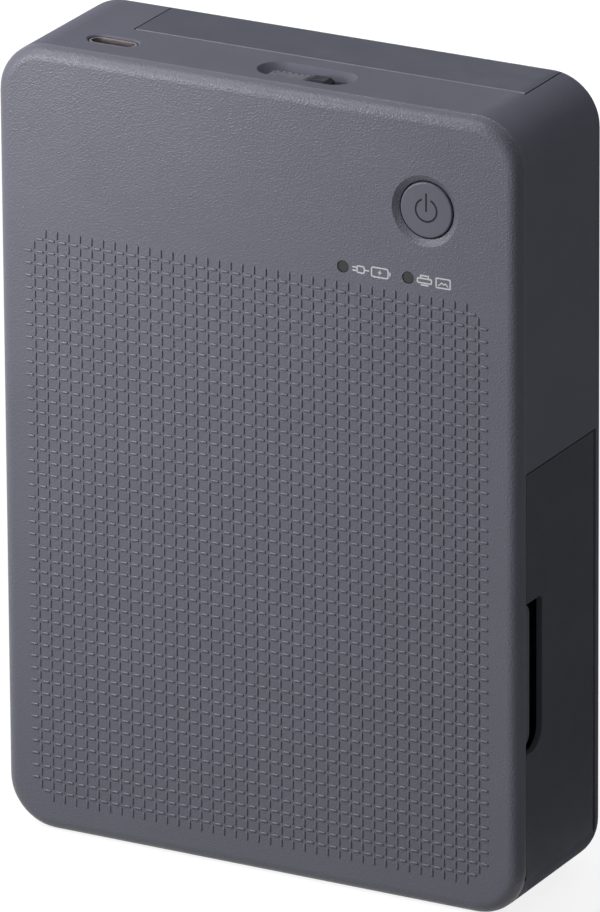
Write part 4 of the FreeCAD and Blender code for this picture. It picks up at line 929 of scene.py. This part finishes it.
def background():
    """A world that lights softly and looks white behind the object."""
    world = bpy.data.worlds.new("studio")
    bpy.context.scene.world = world
    world.use_nodes = True
    nodes, links = world.node_tree.nodes, world.node_tree.links
    surface = nodes["Background"]
    surface.inputs["Color"].default_value = sky_colour
    strength = nodes.new("ShaderNodeMix")
    strength.data_type = "FLOAT"
    strength.inputs["A"].default_value = ambient_light
    strength.inputs["B"].default_value = backdrop_light
    links.new(seen_plainly(nodes, links), strength.inputs["Factor"])
    links.new(strength.outputs["Result"], surface.inputs["Strength"])


def pale_floor():
    """A floor just under the object, which looks nearly white and keeps the object's shadow."""
    material, shader = matt("floor_pale", floor_tone, floor_roughness)
    shader.inputs["Emission Color"].default_value = white
    nodes, links = material.node_tree.nodes, material.node_tree.links
    glow = nodes.new("ShaderNodeMath")
    glow.operation = "MULTIPLY"
    glow.inputs[1].default_value = floor_glow
    links.new(seen_plainly(nodes, links), glow.inputs[0])
    links.new(glow.outputs["Value"], shader.inputs["Emission Strength"])
    reach = floor_reach
    low = -floor_drop
    corners = [(-reach, -reach, low), (reach, -reach, low), (reach, reach, low), (-reach, reach, low)]
    stage_plane("floor", corners, material)


def grey_flag():
    """Grey card on the right and on the floor beside it, which keeps that side in shade.

    The camera doesn't see it and it casts no shadow: only light on its way between surfaces meets it.
    """
    material = matt("flag_grey", flag_tone, flag_roughness)[0]
    near, far = flag_near_x, flag_far_x
    front, back = flag_front_y, flag_back_y
    card = [(far, front, 0), (far, back, 0), (far, back, flag_height), (far, front, flag_height)]
    mat = [(near, front, mm), (far, front, mm), (far, back, mm), (near, back, mm)]
    for name, corners in (("flag_card", card), ("flag_mat", mat)):
        made = stage_plane(name, corners, material)
        made.visible_camera = False
        made.visible_shadow = False


def studio():
    """Pale floor and backdrop, a key and an upper lamp at the front left, a lamp behind, a flag."""
    aim = (0, 0, top_z / 2)
    area_light("key", key_place, aim, key_size, key_power)
    area_light("upper", upper_place, aim, upper_size, upper_power)
    area_light("rear", rear_place, aim, rear_size, rear_power)
    background()
    pale_floor()
    grey_flag()


def camera():
    """A long lens from the front right and above, as in the photo."""
    lens = bpy.data.cameras.new("camera")
    lens.lens = camera_lens
    lens.sensor_width = camera_sensor
    lens.clip_start = camera_near
    lens.clip_end = camera_far
    made = bpy.data.objects.new("camera", lens)
    bpy.context.scene.collection.objects.link(made)
    ahead = camera_up.cross(camera_right)
    facing = Matrix((camera_right, camera_up, -ahead)).transposed()
    made.matrix_world = Matrix.Translation(camera_place) @ facing.to_4x4()
    bpy.context.scene.camera = made


dress_nodes()
front_pattern()
front_marks()
slider_knurl()
slider_arrow()
flap_highlight_strip()
soft_springs()
studio()
camera()
bpy.context.scene.view_settings.view_transform = "Standard"
